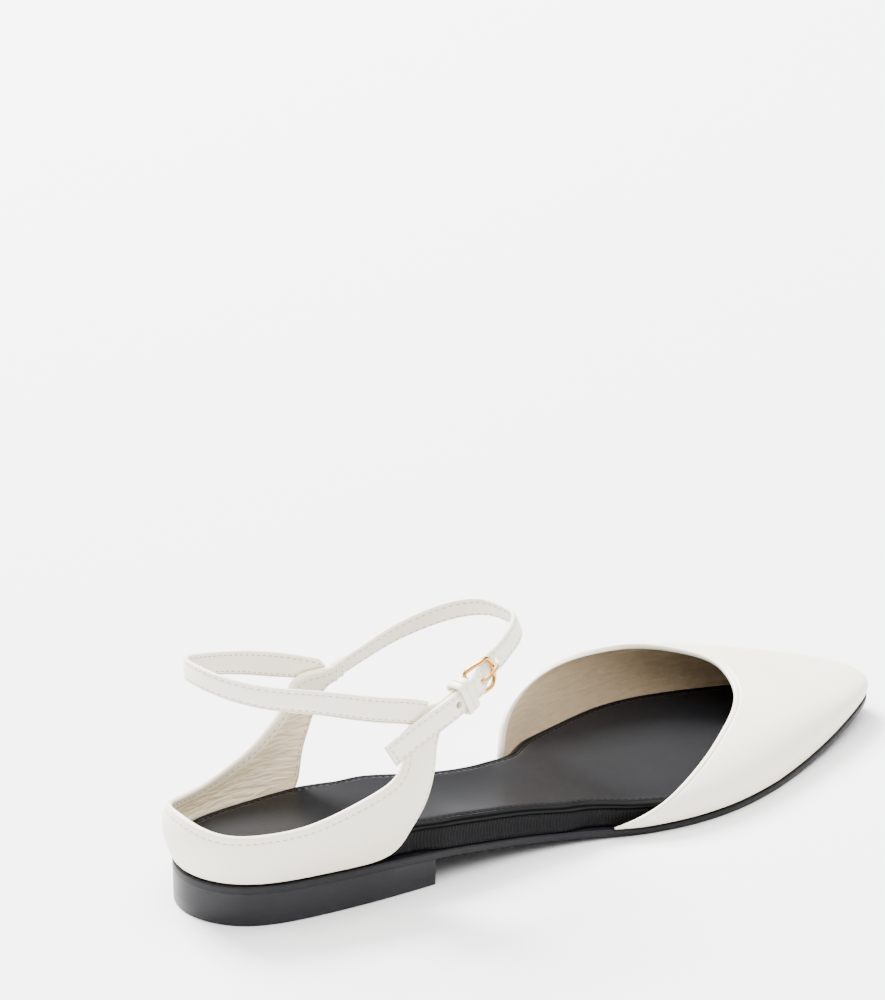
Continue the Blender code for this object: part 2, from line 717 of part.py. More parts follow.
def make_counter(material, course, back):
    plan = moved_inward(outline(), FEATHER_INSET)
    under = -(STRAP_THICKNESS / 2 + GAP)
    roll_front = buckle_half_length() + roll_radius()
    places = np.linspace(BUCKLE_LENGTH * 1.7, roll_front + GAP * 2, 9)
    low_run = [on_strap(course, place, -STRAP_WIDTH / 2, under) for place in places]
    up_run = [on_strap(course, place, STRAP_WIDTH / 2, under) for place in places]
    narrow = roll_front - GAP
    low_run.append(on_strap(course, narrow, -ROLL_LENGTH / 2, under))
    up_run.append(on_strap(course, narrow, ROLL_LENGTH / 2, under))
    low_run.append(on_strap(course, buckle_half_length(), -ROLL_LENGTH / 2, under))
    up_run.append(on_strap(course, buckle_half_length(), ROLL_LENGTH / 2, under))
    outer_low, outer_up = counter_half(
        plan, 1, OUTER_FRONT_EDGE, OUTER_TOP_EDGE, INNER_TOP_EDGE[0],
        [tuple(low_run[0])], [tuple(up_run[0])],
    )
    inner_low, inner_up = counter_half(
        plan, -1, INNER_FRONT_EDGE, INNER_TOP_EDGE, OUTER_TOP_EDGE[0], [], []
    )
    lower = np.vstack([low_run[:0:-1], outer_low[::-1], inner_low[1:]])
    upper = np.vstack([up_run[:0:-1], outer_up[::-1], inner_up[1:]])
    share = np.linspace(0, 1, COUNTER_ROWS)[:, None, None]
    grid = lower * (1 - share) + upper * share
    flow = np.gradient(grid, axis=1)
    out = np.stack([-flow[..., 1], flow[..., 0]], -1)
    out /= np.linalg.norm(out, axis=-1)[..., None]
    height = np.clip(2 - grid[..., 2] / (WING_HEIGHT * 0.5), 0, 1)
    bulge = COUNTER_BULGE * np.sin(math.pi * share[..., 0] * 0.9) * height
    grid[..., :2] += out * bulge[..., None]
    counter = open_sheet("heel_counter", grid, material, COUNTER_WALL, 1)
    boolean(counter, make_strap("back_strap", back, material), "UNION")
    bar = buckle_half_length()
    depth = rear_bar_height()
    ends = [on_strap(course, bar, side * ROLL_LENGTH / 2, depth) for side in (-1, 1)]
    boolean(counter, rod("fold", *ends, roll_radius(), 20), "UNION")
    ends = [on_strap(course, bar, side * STRAP_WIDTH, depth) for side in (-1, 1)]
    boolean(counter, rod("bar_bore", *ends, BUCKLE_WIRE / 2 + GAP, 16), "DIFFERENCE")
    slot = block(
        "prong_slot", course, (bar - STRAP_WIDTH / 2, bar + BUCKLE_WIRE),
        PRONG_SLOT / 2, (depth - STRAP_WIDTH / 2, depth + STRAP_WIDTH / 2),
    )
    boolean(counter, slot, "DIFFERENCE")
    return counter


def make_strap(name, course, material):
    centre, _, _, upward, width = course
    across = np.linspace(-0.5, 0.5, 3)[:, None, None]
    grid = centre + across * STRAP_WIDTH * (upward * width[:, None])
    return open_sheet(name, grid, material, STRAP_THICKNESS, 0, STRAP_THICKNESS * 0.22)


def make_instep_strap(course, material):
    """The strap over the instep, lifted over the buckle's rear bar, with its punched holes."""
    centre, forward, outward, upward, width = course
    run = run_along(centre)
    lift = strap_lift(run - BUCKLE_AT * run[-1])
    lifted = centre + outward * lift[:, None]
    strap = make_strap("instep_strap", (lifted, forward, outward, upward, width), material)
    for number in (-1, 0, 1):
        place = PRONG_HOLE_AT + number * HOLE_PITCH
        ends = [on_strap(course, place, 0, side * STRAP_WIDTH / 2) for side in (-1, 1)]
        boolean(strap, rod("punched_hole", *ends, HOLE_DIAMETER / 2, 12), "DIFFERENCE")
    return strap


def wire(name, points, thickness, normal, closed, material):
    """Round wire through points that lie near a plane with the given normal."""
    points = np.array(points)
    if closed:
        ahead = np.roll(points, -1, axis=0) - np.roll(points, 1, axis=0)
    else:
        ahead = np.gradient(points, axis=0)
    side = np.cross(ahead, normal)
    side /= np.linalg.norm(side, axis=1)[:, None]
    rise = np.cross(side, ahead)
    rise /= np.linalg.norm(rise, axis=1)[:, None]
    body = bmesh.new()
    rings = []
    for k, point in enumerate(points):
        turns = np.linspace(0, 2 * math.pi, WIRE_SIDES + 1)[:-1]
        rings.append([
            body.verts.new(point + (side[k] * math.cos(t) + rise[k] * math.sin(t)) * thickness / 2)
            for t in turns
        ])
    pairs = list(zip(rings, rings[1:])) + ([(rings[-1], rings[0])] if closed else [])
    for first, second in pairs:
        for k in range(WIRE_SIDES):
            n = (k + 1) % WIRE_SIDES
            body.faces.new((first[k], first[n], second[n], second[k]))
    if not closed:
        body.faces.new(rings[0])
        body.faces.new(rings[-1])
    bmesh.ops.recalc_face_normals(body, faces=body.faces)
    mesh = bpy.data.meshes.new(name)
    body.to_mesh(mesh)
    body.free()
    mesh.shade_smooth()
    return object_from(mesh, name, material)


def buckle_ring(course):
    """Centre line of the buckle's wire: straight bar behind, straight sides, round front."""
    half_length = buckle_half_length()
    half_width = STRAP_WIDTH / 2 + GAP + BUCKLE_WIRE / 2
    corner = BUCKLE_CORNER
    shoulder = -BUCKLE_LENGTH * 0.14
    plan = []
    for turn in np.linspace(0, math.pi / 2, 5):
        plan.append((half_length - corner + corner * math.cos(turn),
                     half_width - corner + corner * math.sin(turn)))
    for turn in np.linspace(0, math.pi / 2, 9):
        plan.append((shoulder - (half_length + shoulder) * math.sin(turn),
                     half_width * math.cos(turn)))
    plan += [(a, -b) for a, b in plan[-2::-1]]
    rear = rear_bar_height()
    front = -STRAP_DIP + STRAP_THICKNESS / 2 + GAP + BUCKLE_WIRE / 2
    points = []
    for place, across in plan:
        share = min(max((half_length - place) / (half_length - shoulder), 0), 1)
        height = rear + (front - rear) * share * share * (3 - 2 * share)
        points.append(on_strap(course, place, across, height))
    return points


def make_keeper(course, material):
    """Loop round the buckle strap and the instep strap's free part."""
    start = buckle_half_length() + roll_radius() + GAP
    middle_place = start + KEEPER_WIDTH / 2
    centre, forward, outward, upward = frame_on(course, middle_place)
    top = STRAP_THICKNESS / 2 + 2 * GAP
    bottom = -(STRAP_THICKNESS / 2 + GAP + COUNTER_WALL + GAP)
    half_height, middle = (top - bottom) / 2, (top + bottom) / 2
    half_width = STRAP_WIDTH / 2 + 2 * GAP
    turns = np.linspace(0, 2 * math.pi, 41)
    power = 2 / 9
    across = np.sign(np.cos(turns)) * np.abs(np.cos(turns)) ** power * half_width
    out = middle + np.sign(np.sin(turns)) * np.abs(np.sin(turns)) ** power * half_height
    across[-1], out[-1] = across[0], out[0]
    grid = np.array([
        [centre + forward * side * KEEPER_WIDTH / 2 + upward * b + outward * h
         for b, h in zip(across, out)]
        for side in (-1, 1)
    ])
    return open_sheet("keeper", grid, material, KEEPER_THICKNESS, -1)


def main():
    for obj in list(bpy.data.objects):
        bpy.data.objects.remove(obj)
    ivory = finish("ivory leather", (0.80, 0.79, 0.75), 0.35)
    black = finish("black sole leather", (0.02, 0.02, 0.022), 0.45)
    footbed = finish("black footbed leather", (0.018, 0.018, 0.02), 0.4)
    gold = finish("gold plated brass", (0.90, 0.68, 0.42), 0.22, 1.0)
    make_outsole(black)
    make_heel(black)
    make_insole(footbed)
    make_vamp(ivory)
    before, round_buckle, behind = INSTEP_STRAP_STEPS
    shares = np.concatenate([
        np.linspace(0, BUCKLE_AT - BUCKLE_REACH, before)[:-1],
        np.linspace(BUCKLE_AT - BUCKLE_REACH, BUCKLE_AT + BUCKLE_REACH, round_buckle)[:-1],
        np.linspace(BUCKLE_AT + BUCKLE_REACH, 1, behind),
    ])
    back = strap_course(BACK_STRAP, BACK_STRAP_STEPS)
    instep = strap_course(INSTEP_STRAP, 0, shares)
    make_counter(ivory, instep, back)
    make_instep_strap(instep, ivory)
    make_keeper(instep, ivory)
    _, _, outward, upward = frame_on(instep, 0)
    wire("buckle_frame", buckle_ring(instep), BUCKLE_WIRE, outward, True, gold)
    prong = smooth_curve([(place, 0.0, height) for place, height in PRONG_LINE], PRONG_STEPS)
    prong = [on_strap(instep, place, 0, height) for place, _, height in prong]
    wire("buckle_prong", prong, PRONG_WIRE, upward, False, gold)


SHOE = bpy.data.collections.new("sling_back_flat")
HELPERS = bpy.data.collections.new("helpers")
bpy.context.scene.collection.children.link(SHOE)
bpy.context.scene.collection.children.link(HELPERS)
main()
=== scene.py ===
# %% [markdown]
# A women's flat shoe with a pointed front, a low heel counter and an ankle strap, dressed for a
# product picture. The imported solids give the place and the main form of every piece. Here each
# piece is drawn again from the same named sizes, with finer steps, rolled edges, seams, stitches
# and real finishes, and stands for its solid.

# %% Load the imported model and bake each solid's place into its mesh
import math

import bmesh
import bpy
import numpy as np
from mathutils import Matrix, Vector


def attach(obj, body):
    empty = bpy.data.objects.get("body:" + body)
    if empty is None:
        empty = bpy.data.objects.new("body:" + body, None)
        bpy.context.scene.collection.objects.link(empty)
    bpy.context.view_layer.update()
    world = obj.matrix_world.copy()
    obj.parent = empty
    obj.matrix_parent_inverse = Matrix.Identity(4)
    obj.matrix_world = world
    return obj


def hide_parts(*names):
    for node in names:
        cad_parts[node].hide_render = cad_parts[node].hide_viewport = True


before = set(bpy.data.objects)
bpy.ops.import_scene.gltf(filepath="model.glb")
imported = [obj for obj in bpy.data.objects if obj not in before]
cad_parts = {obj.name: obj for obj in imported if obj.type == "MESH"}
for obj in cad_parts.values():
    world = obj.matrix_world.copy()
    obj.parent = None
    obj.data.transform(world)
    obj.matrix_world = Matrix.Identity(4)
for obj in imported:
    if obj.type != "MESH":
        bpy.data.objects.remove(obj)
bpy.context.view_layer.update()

print("solids loaded:", ", ".join(sorted(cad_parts)))

# %% [markdown]
# The sizes of the shoe, in metres, as in its construction. One table per line of the shoe, with
# a row per station, so that a learner can see which number moves which curve.

# %% Sizes of the sole, the upper, the straps and the buckle
# Sole sizes, in metres
SOLE_LENGTH = 0.262
BALL_WIDTH = 0.077
WAIST_WIDTH = 0.044
HEEL_WIDTH = 0.051
HEEL_REST_SETBACK = 0.035
HEEL_SEAT_HEIGHT = 0.0135
OUTSOLE_THICKNESS = 0.0024
FOREPART_THICKNESS = 0.0022
TOE_SPRING = 0.0065
BREAST_SETBACK = 0.0715

# Footbed sizes
FOOTBED_THICKNESS = 0.0085
FOOTBED_SIDE_INSET = 0.0010
FOOTBED_TILT = 0.055
FOOTBED_TOE_INSET = 0.0030

# Upper sizes
VAMP_WALL = 0.0017
COUNTER_WALL = 0.0020
FEATHER_INSET = 0.0003
VAMP_TUCK = 0.0018
THROAT_HEIGHT = 0.0215
COUNTER_BULGE = 0.0026
WING_HEIGHT = 0.0560

# Strap and buckle sizes
STRAP_WIDTH = 0.0082
STRAP_THICKNESS = 0.0016
ANKLE_HALF_WIDTH = 0.0255
BACK_STRAP_HEIGHT = 0.0765
INSTEP_STRAP_HEIGHT = 0.0700
KEEPER_WIDTH = 0.0046
KEEPER_THICKNESS = 0.0011
BUCKLE_LENGTH = 0.0112
BUCKLE_WIRE = 0.0012
BUCKLE_CORNER = 0.0016
PRONG_WIRE = 0.0010
HOLE_DIAMETER = 0.0024
HOLE_PITCH = 0.0110
PRONG_HOLE_AT = 0.0022
ROLL_WALL = 0.0006
ROLL_LENGTH = 0.0056
PRONG_SLOT = 0.0021
STRAP_RISE = 0.0007
STRAP_DIP = 0.0008

# Distance of each seam from the edge of its piece
RIM_SEAM_INSET = 0.0026
FRONT_SEAM_INSET = 0.0018
VAMP_SEAM_INSET = 0.0021
STRAP_SEAM_INSET = 0.0013
FOOTBED_SEAM_INSET = 0.0027

# Gap between touching pieces, and how near to each other two points become one
GAP = 0.0003
MERGE_DISTANCE = 2e-6
print("sole length", SOLE_LENGTH, "strap width", STRAP_WIDTH)

# %% Tables of the sole
# Plan of the sole, a row per station: share of the sole length, the width that the row follows,
# and the share of it from the centre line to the edge
OUTER_EDGE = [
    (0.020, HEEL_WIDTH, 0.300),
    (0.050, HEEL_WIDTH, 0.400),
    (0.100, HEEL_WIDTH, 0.468),
    (0.170, HEEL_WIDTH, 0.510),
    (0.250, HEEL_WIDTH, 0.530),
    (0.350, WAIST_WIDTH, 0.610),
    (0.430, WAIST_WIDTH, 0.632),
    (0.500, BALL_WIDTH, 0.408),
    (0.570, BALL_WIDTH, 0.478),
    (0.630, BALL_WIDTH, 0.508),
    (0.690, BALL_WIDTH, 0.497),
    (0.750, BALL_WIDTH, 0.449),
    (0.810, BALL_WIDTH, 0.376),
    (0.870, BALL_WIDTH, 0.292),
    (0.920, BALL_WIDTH, 0.214),
    (0.960, BALL_WIDTH, 0.142),
    (0.987, BALL_WIDTH, 0.072),
]
INNER_EDGE = [
    (0.020, HEEL_WIDTH, 0.335),
    (0.050, HEEL_WIDTH, 0.415),
    (0.100, HEEL_WIDTH, 0.462),
    (0.170, HEEL_WIDTH, 0.475),
    (0.250, HEEL_WIDTH, 0.445),
    (0.340, WAIST_WIDTH, 0.390),
    (0.420, WAIST_WIDTH, 0.340),
    (0.480, BALL_WIDTH, 0.235),
    (0.530, BALL_WIDTH, 0.330),
    (0.590, BALL_WIDTH, 0.405),
    (0.650, BALL_WIDTH, 0.462),
    (0.710, BALL_WIDTH, 0.491),
    (0.770, BALL_WIDTH, 0.478),
    (0.830, BALL_WIDTH, 0.424),
    (0.880, BALL_WIDTH, 0.358),
    (0.925, BALL_WIDTH, 0.286),
    (0.960, BALL_WIDTH, 0.214),
    (0.987, BALL_WIDTH, 0.138),
]
HEEL_POINT = (-0.007, HEEL_WIDTH, -0.020)
TOE_POINT = (1.0, BALL_WIDTH, -0.032)

# Side view of the outsole's top, a row per station: share of the length, the height that the
# row follows and the share of it
SEAT_LINE = [
    (0.000, HEEL_SEAT_HEIGHT, 1.00),
    (0.100, HEEL_SEAT_HEIGHT, 0.97),
    (0.200, HEEL_SEAT_HEIGHT, 0.92),
    (0.290, HEEL_SEAT_HEIGHT, 0.79),
    (0.350, HEEL_SEAT_HEIGHT, 0.63),
    (0.400, HEEL_SEAT_HEIGHT, 0.50),
    (0.450, HEEL_SEAT_HEIGHT, 0.37),
    (0.500, HEEL_SEAT_HEIGHT, 0.265),
    (0.560, FOREPART_THICKNESS, 1.00),
    (0.770, FOREPART_THICKNESS, 1.00),
]
TOE_LINE = [
    (0.770, 0.00),
    (0.820, 0.09),
    (0.870, 0.26),
    (0.930, 0.58),
    (1.000, 1.00),
]
# Thickness of the outsole and of the footbed along the length
OUTSOLE_LINE = [
    (0.000, OUTSOLE_THICKNESS, 1.00),
    (0.400, OUTSOLE_THICKNESS, 1.00),
    (0.500, OUTSOLE_THICKNESS, 0.92),
    (0.560, FOREPART_THICKNESS, 1.00),
    (1.000, FOREPART_THICKNESS, 1.00),
]
FOOTBED_LINE = [
    (0.000, 0.82),
    (0.120, 0.85),
    (0.200, 0.92),
    (0.300, 1.00),
    (0.420, 0.98),
    (0.500, 0.98),
    (0.600, 0.85),
    (0.760, 0.72),
    (0.880, 0.56),
    (1.000, 0.40),
]

# Share of the footbed's tilt to the inner side along the length
FOOTBED_TILT_LINE = [
    (0.000, 0.50),
    (0.280, 1.00),
    (0.380, 1.00),
    (0.500, 0.20),
    (0.560, 0.00),
    (1.000, 0.00),
]
print("stations on the sole's outer edge:", len(OUTER_EDGE))

# %% Tables of the upper
# Topline of the vamp from its outer end round the throat to its inner end: share of half the
# ball width to the outer side, share of the length, share of the throat height above the
# outsole, slope of the crown there and fullness of the wall below
TOPLINE = [
    (0.880, 0.513, 0.070, 0.00, 2.2),
    (0.940, 0.540, 0.195, 0.00, 2.2),
    (0.965, 0.574, 0.365, 0.06, 2.2),
    (0.900, 0.617, 0.555, 0.14, 2.3),
    (0.760, 0.664, 0.725, 0.18, 2.4),
    (0.560, 0.710, 0.845, 0.19, 2.7),
    (0.330, 0.752, 0.920, 0.19, 3.2),
    (0.100, 0.780, 0.965, 0.19, 3.7),
    (-0.120, 0.794, 1.015, 0.19, 3.7),
    (-0.330, 0.796, 1.090, 0.19, 3.3),
    (-0.520, 0.781, 1.165, 0.19, 2.9),
    (-0.690, 0.755, 1.230, 0.18, 2.6),
    (-0.820, 0.719, 1.285, 0.16, 2.4),
    (-0.890, 0.676, 1.300, 0.14, 2.3),
    (-0.904, 0.633, 1.285, 0.12, 2.2),
    (-0.878, 0.583, 1.175, 0.08, 2.2),
    (-0.818, 0.543, 0.955, 0.04, 2.2),
    (-0.727, 0.514, 0.640, 0.00, 2.2),
    (-0.600, 0.494, 0.210, 0.00, 2.2),
]
VAMP_OUTER_END = 0.515
VAMP_INNER_END = 0.495

# Edges of the counter band on each side, from the heel's back to the top of the wing. The foot
# of each wing stands on the outsole at WING_FOOT. A row holds the share of the ankle's half
# width, the share of the length and the share of the wing height
WING_FOOT = 0.205
OUTER_FRONT_EDGE = [
    (1.040, 0.222, 0.275),
    (1.060, 0.239, 0.370),
    (1.065, 0.255, 0.470),
    (1.060, 0.268, 0.595),
    (1.045, 0.275, 0.720),
    (1.035, 0.280, 0.860),
    (1.035, 0.285, 0.920),
]
INNER_FRONT_EDGE = [
    (-0.930, 0.207, 0.360),
    (-0.965, 0.215, 0.505),
    (-1.000, 0.226, 0.640),
    (-1.010, 0.236, 0.755),
    (-1.010, 0.247, 0.850),
    (-1.015, 0.258, 0.885),
    (-1.015, 0.268, 0.895),
]
OUTER_TOP_EDGE = [
    (0.600, 0.004, 0.575),
    (0.850, 0.048, 0.560),
    (0.980, 0.100, 0.570),
    (1.045, 0.153, 0.620),
    (1.060, 0.193, 0.670),
    (1.055, 0.218, 0.725),
    (1.045, 0.228, 0.785),
    (1.025, 0.234, 0.880),
    (1.005, 0.240, 0.970),
    (0.985, 0.256, 1.050),
]
INNER_TOP_EDGE = [
    (-0.510, 0.004, 0.575),
    (-0.775, 0.042, 0.530),
    (-0.885, 0.080, 0.540),
    (-0.935, 0.110, 0.580),
    (-0.972, 0.146, 0.655),
    (-0.985, 0.168, 0.730),
    (-0.985, 0.184, 0.800),
    (-0.975, 0.194, 0.885),
    (-0.960, 0.200, 0.965),
    (-0.945, 0.213, 1.005),
    (-0.915, 0.236, 1.015),
    (-0.890, 0.257, 1.020),
]

# Middle of the counter's top edge at the back, in the same columns
COUNTER_BACK_TOP = (0.000, -0.014, 0.615)
print("stations on the topline:", len(TOPLINE))

# %% Tables of the straps and the prong
# Course of the back strap's centre line, inner end first: share of the ankle's half width, share
# of the length, the height that the row follows and the share of it, lean in degrees and share
# of the strap's width
BACK_STRAP = [
    (-0.962, 0.249, WING_HEIGHT, 0.970, 10, 0.55),
    (-0.968, 0.241, WING_HEIGHT, 0.980, 10, 0.90),
    (-0.982, 0.226, WING_HEIGHT, 1.010, 8, 1.00),
    (-1.010, 0.195, BACK_STRAP_HEIGHT, 0.778, 4, 1.00),
    (-0.950, 0.120, BACK_STRAP_HEIGHT, 0.862, 0, 0.95),
    (-0.720, 0.052, BACK_STRAP_HEIGHT, 0.936, 0, 0.92),
    (-0.370, 0.024, BACK_STRAP_HEIGHT, 0.988, 0, 0.90),
    (0.000, 0.017, BACK_STRAP_HEIGHT, 1.010, 0, 0.90),
    (0.380, 0.024, BACK_STRAP_HEIGHT, 1.008, 0, 0.90),
    (0.710, 0.052, BACK_STRAP_HEIGHT, 0.982, 0, 0.92),
    (0.935, 0.120, BACK_STRAP_HEIGHT, 0.921, 2, 0.95),
    (1.045, 0.200, BACK_STRAP_HEIGHT, 0.833, 4, 1.00),
    (1.050, 0.240, WING_HEIGHT, 1.080, 4, 1.00),
    (1.040, 0.258, WING_HEIGHT, 1.045, 4, 1.00),
]

# Course of the instep strap's centre line, inner end first, in the same columns
INSTEP_STRAP = [
    (-0.950, 0.2685, WING_HEIGHT, 0.965, 26, 1.00),
    (-0.945, 0.300, INSTEP_STRAP_HEIGHT, 0.812, 28, 1.00),
    (-0.890, 0.340, INSTEP_STRAP_HEIGHT, 0.874, 28, 1.00),
    (-0.730, 0.380, INSTEP_STRAP_HEIGHT, 0.937, 28, 1.00),
    (-0.470, 0.411, INSTEP_STRAP_HEIGHT, 0.992, 30, 1.00),
    (-0.150, 0.430, INSTEP_STRAP_HEIGHT, 1.021, 32, 1.00),
    (0.180, 0.435, INSTEP_STRAP_HEIGHT, 1.024, 30, 0.98),
    (0.415, 0.431, INSTEP_STRAP_HEIGHT, 1.025, 22, 0.98),
    (0.605, 0.416, INSTEP_STRAP_HEIGHT, 1.010, 13, 1.00),
    (0.765, 0.390, INSTEP_STRAP_HEIGHT, 0.982, 7, 1.00),
    (0.885, 0.364, INSTEP_STRAP_HEIGHT, 0.945, 7, 1.00),
    (0.990, 0.340, INSTEP_STRAP_HEIGHT, 0.913, 7, 1.00),
    (1.067, 0.317, INSTEP_STRAP_HEIGHT, 0.872, 6, 1.00),
    (1.145, 0.250, WING_HEIGHT, 0.975, 5, 1.00),
    (1.120, 0.2055, WING_HEIGHT, 0.870, 5, 1.00),
]
# Place of the buckle's middle, as a share of the instep strap's length
BUCKLE_AT = 0.705

# Side view of the buckle's prong: place along the strap from the buckle's middle, towards the
# free end, and height over the strap's flat course. The first rows curl round the rear bar
PRONG_LINE = [
    (0.00452, -0.00322),
    (0.00382, -0.00268),
    (0.00360, -0.00195),
    (0.00345, -0.00130),
    (0.00300, -0.00070),
    (0.00250, 0.00020),
    (0.00190, 0.00120),
    (0.00110, 0.00195),
    (0.00000, 0.00222),
    (-0.00250, 0.00232),
    (-0.00500, 0.00232),
    (-0.00600, 0.00222),
]
print("stations on the instep strap:", len(INSTEP_STRAP))

# %% [markdown]
# Curves come first. A smooth curve through a short table gives as many points as the picture
# needs, so that the same rows serve a coarse solid and a fine surface. A curve object could do
# the same, but a function also returns the points, and other pieces are measured from them.

# %% Smooth curves and chains of points
# Points on every smooth curve before it is read at the places that a piece needs
DENSE_STEPS = 600
# Points that a closed curve repeats at both ends, so that it runs on smoothly
WRAP = 4


def along(share):
    """Place along the shoe of a share of the sole length."""
    return share * SOLE_LENGTH - HEEL_REST_SETBACK


def share_at(y):
    """Share of the sole length of a place along the shoe."""
    return (np.asarray(y) + HEEL_REST_SETBACK) / SOLE_LENGTH


def unit(vectors):
    """Vectors of the same directions with a length of one."""
    return vectors / np.linalg.norm(vectors, axis=-1)[..., None]


def run_along(line):
    """Distance along a chain of points."""
    return np.concatenate([[0], np.cumsum(np.linalg.norm(np.diff(line, axis=0), axis=1))])


def read_at(line, run, places):
    """Points of a chain at given distances, where run holds the distance of each point."""
    return np.stack([np.interp(places, run, line[:, k]) for k in range(line.shape[1])], -1)


def walk(line, places):
    """Points at given distances along a chain of points."""
    return read_at(line, run_along(line), places)


def heading(points, closed=False):
    """Steps along a chain of points, the same at both ends of a closed one."""
    ahead = np.gradient(points, axis=0)
    if closed:
        ahead[0] = ahead[-1] = points[1] - points[-2]
    return ahead


def profile(rows, shares):
    """Read a table of (share, value) as a smooth line without overshoot."""
    x = np.array([row[0] for row in rows], float)
    y = np.array([row[1] for row in rows], float)
    step = np.diff(x)
    rise = np.diff(y) / step
    slope = np.zeros_like(y)
    slope[0], slope[-1] = rise[0], rise[-1]
    for i in range(1, len(x) - 1):
        if rise[i - 1] * rise[i] > 0:
            w1 = 2 * step[i] + step[i - 1]
            w2 = step[i] + 2 * step[i - 1]
            slope[i] = (w1 + w2) / (w1 / rise[i - 1] + w2 / rise[i])
    shares = np.clip(np.asarray(shares, float), x[0], x[-1])
    i = np.clip(np.searchsorted(x, shares) - 1, 0, len(x) - 2)
    t = (shares - x[i]) / step[i]
    return (
        y[i] * (1 + 2 * t) * (1 - t) ** 2
        + slope[i] * step[i] * t * (1 - t) ** 2
        + y[i + 1] * t * t * (3 - 2 * t)
        + slope[i + 1] * step[i] * t * t * (t - 1)
    )


def smooth_curve(points, count, closed=False, shares=None):
    """Evenly spaced points on a curve with smooth bends through the given points."""
    knots = np.asarray(points, float)
    if closed:
        knots = np.vstack([knots[-WRAP:], knots, knots[: WRAP + 1]])
    chord = np.linalg.norm(np.diff(knots[:, :3], axis=0), axis=1)
    t = np.concatenate([[0.0], np.cumsum(chord)])
    n = len(knots)
    matrix = np.zeros((n, n))
    right = np.zeros_like(knots)
    matrix[0, 0] = matrix[-1, -1] = 1.0
    for i in range(1, n - 1):
        matrix[i, i - 1] = chord[i - 1]
        matrix[i, i] = 2 * (chord[i - 1] + chord[i])
        matrix[i, i + 1] = chord[i]
        right[i] = 6 * (
            (knots[i + 1] - knots[i]) / chord[i] - (knots[i] - knots[i - 1]) / chord[i - 1]
        )
    bend = np.linalg.solve(matrix, right)
    first, last = (t[WRAP], t[-1 - WRAP]) if closed else (t[0], t[-1])
    at = np.linspace(first, last, DENSE_STEPS)
    i = np.clip(np.searchsorted(t, at) - 1, 0, n - 2)
    h = chord[i][:, None]
    a = (t[i + 1] - at)[:, None] / h
    b = 1 - a
    dense = a * knots[i] + b * knots[i + 1]
    dense += ((a ** 3 - a) * bend[i] + (b ** 3 - b) * bend[i + 1]) * h * h / 6
    run = run_along(dense[:, :3])
    wanted = np.linspace(0, 1, count) if shares is None else np.asarray(shares)
    return read_at(dense, run, wanted * run[-1])


print("points on every smooth curve:", DENSE_STEPS)

# %% [markdown]
# The last gives the sole its plan and its side view. The plan is one closed line from the heel
# round the outer side. The side view is a height at each place along the shoe. Every piece that
# stands on the sole asks these functions for its place, so the pieces stay in touch.

# %% Plan and heights of the sole
def sized_profile(rows, shares):
    """Read a table of (share, size, part of that size) as a smooth line."""
    return profile([(share, size * part) for share, size, part in rows], shares)


def outline():
    """The sole's plan as a closed curve from the heel's back round the outer side."""
    rows = [(HEEL_POINT[1] * HEEL_POINT[2], along(HEEL_POINT[0]))]
    rows += [(width * share, along(station)) for station, width, share in OUTER_EDGE]
    rows += [(TOE_POINT[1] * TOE_POINT[2], along(TOE_POINT[0]))]
    rows += [(-width * share, along(station)) for station, width, share in reversed(INNER_EDGE)]
    return smooth_curve(rows, DENSE_STEPS, closed=True)


def seat_height(y):
    """Height of the outsole's top at a place along the shoe."""
    share = share_at(y)
    return sized_profile(SEAT_LINE, share) + TOE_SPRING * profile(TOE_LINE, share)


def outsole_underside(y):
    """Height of the outsole's underside, zero under the ball."""
    return np.maximum(seat_height(y) - sized_profile(OUTSOLE_LINE, share_at(y)), 0.0)


def footbed_top(y, x):
    """Height of the footbed's top, a little higher on the outer side of the waist."""
    share = share_at(y)
    tilt = FOOTBED_TILT * profile(FOOTBED_TILT_LINE, share)
    return seat_height(y) + FOOTBED_THICKNESS * profile(FOOTBED_LINE, share) + tilt * x


def moved_inward(curve, distance):
    """A closed plan curve moved inward by a distance that may vary along it."""
    ahead = np.roll(curve[:-1], -1, axis=0) - np.roll(curve[:-1], 1, axis=0)
    ahead = unit(np.vstack([ahead, ahead[:1]]))
    inward = np.stack([-ahead[:, 1], ahead[:, 0]], 1)
    return curve + inward * np.reshape(distance, (-1, 1))


def two_sides(curve, steps, front=None):
    """Outer and inner edge of a plan curve at the same places along the shoe."""
    back, toe = np.argmin(curve[:, 1]), np.argmax(curve[:, 1])
    order = np.roll(curve[:-1], -back, axis=0)
    order = np.vstack([order, order[:1]])
    tip = np.argmax(order[:, 1])
    y0, y1 = order[0, 1], curve[toe, 1]
    if front is None:
        shares = (1 - np.cos(np.linspace(0, math.pi, steps))) / 2
        y = y0 + (y1 - y0) * shares
    else:
        shares = 1 - np.cos(np.linspace(0, math.pi / 2, steps))
        y = y0 + (front - y0) * shares
    outer = np.interp(y, order[: tip + 1, 1], order[: tip + 1, 0])
    inner = np.interp(y, order[tip:, 1][::-1], order[tip:, 0][::-1])
    return y, outer, inner


print("length of the plan:", round(float(np.ptp(outline()[:, 1])), 4))

# %% [markdown]
# A strap is a band along a centre line. At each point it needs three directions: along it, out of
# its face and across it. The lean turns the face about the line. The buckle, the holes and the
# keeper take the same directions at their own distance along the strap, so they sit on it.

# %% Directions along the straps
# Share of the sole length at which the middle of the ankle stands
ANKLE_MIDDLE = 0.22


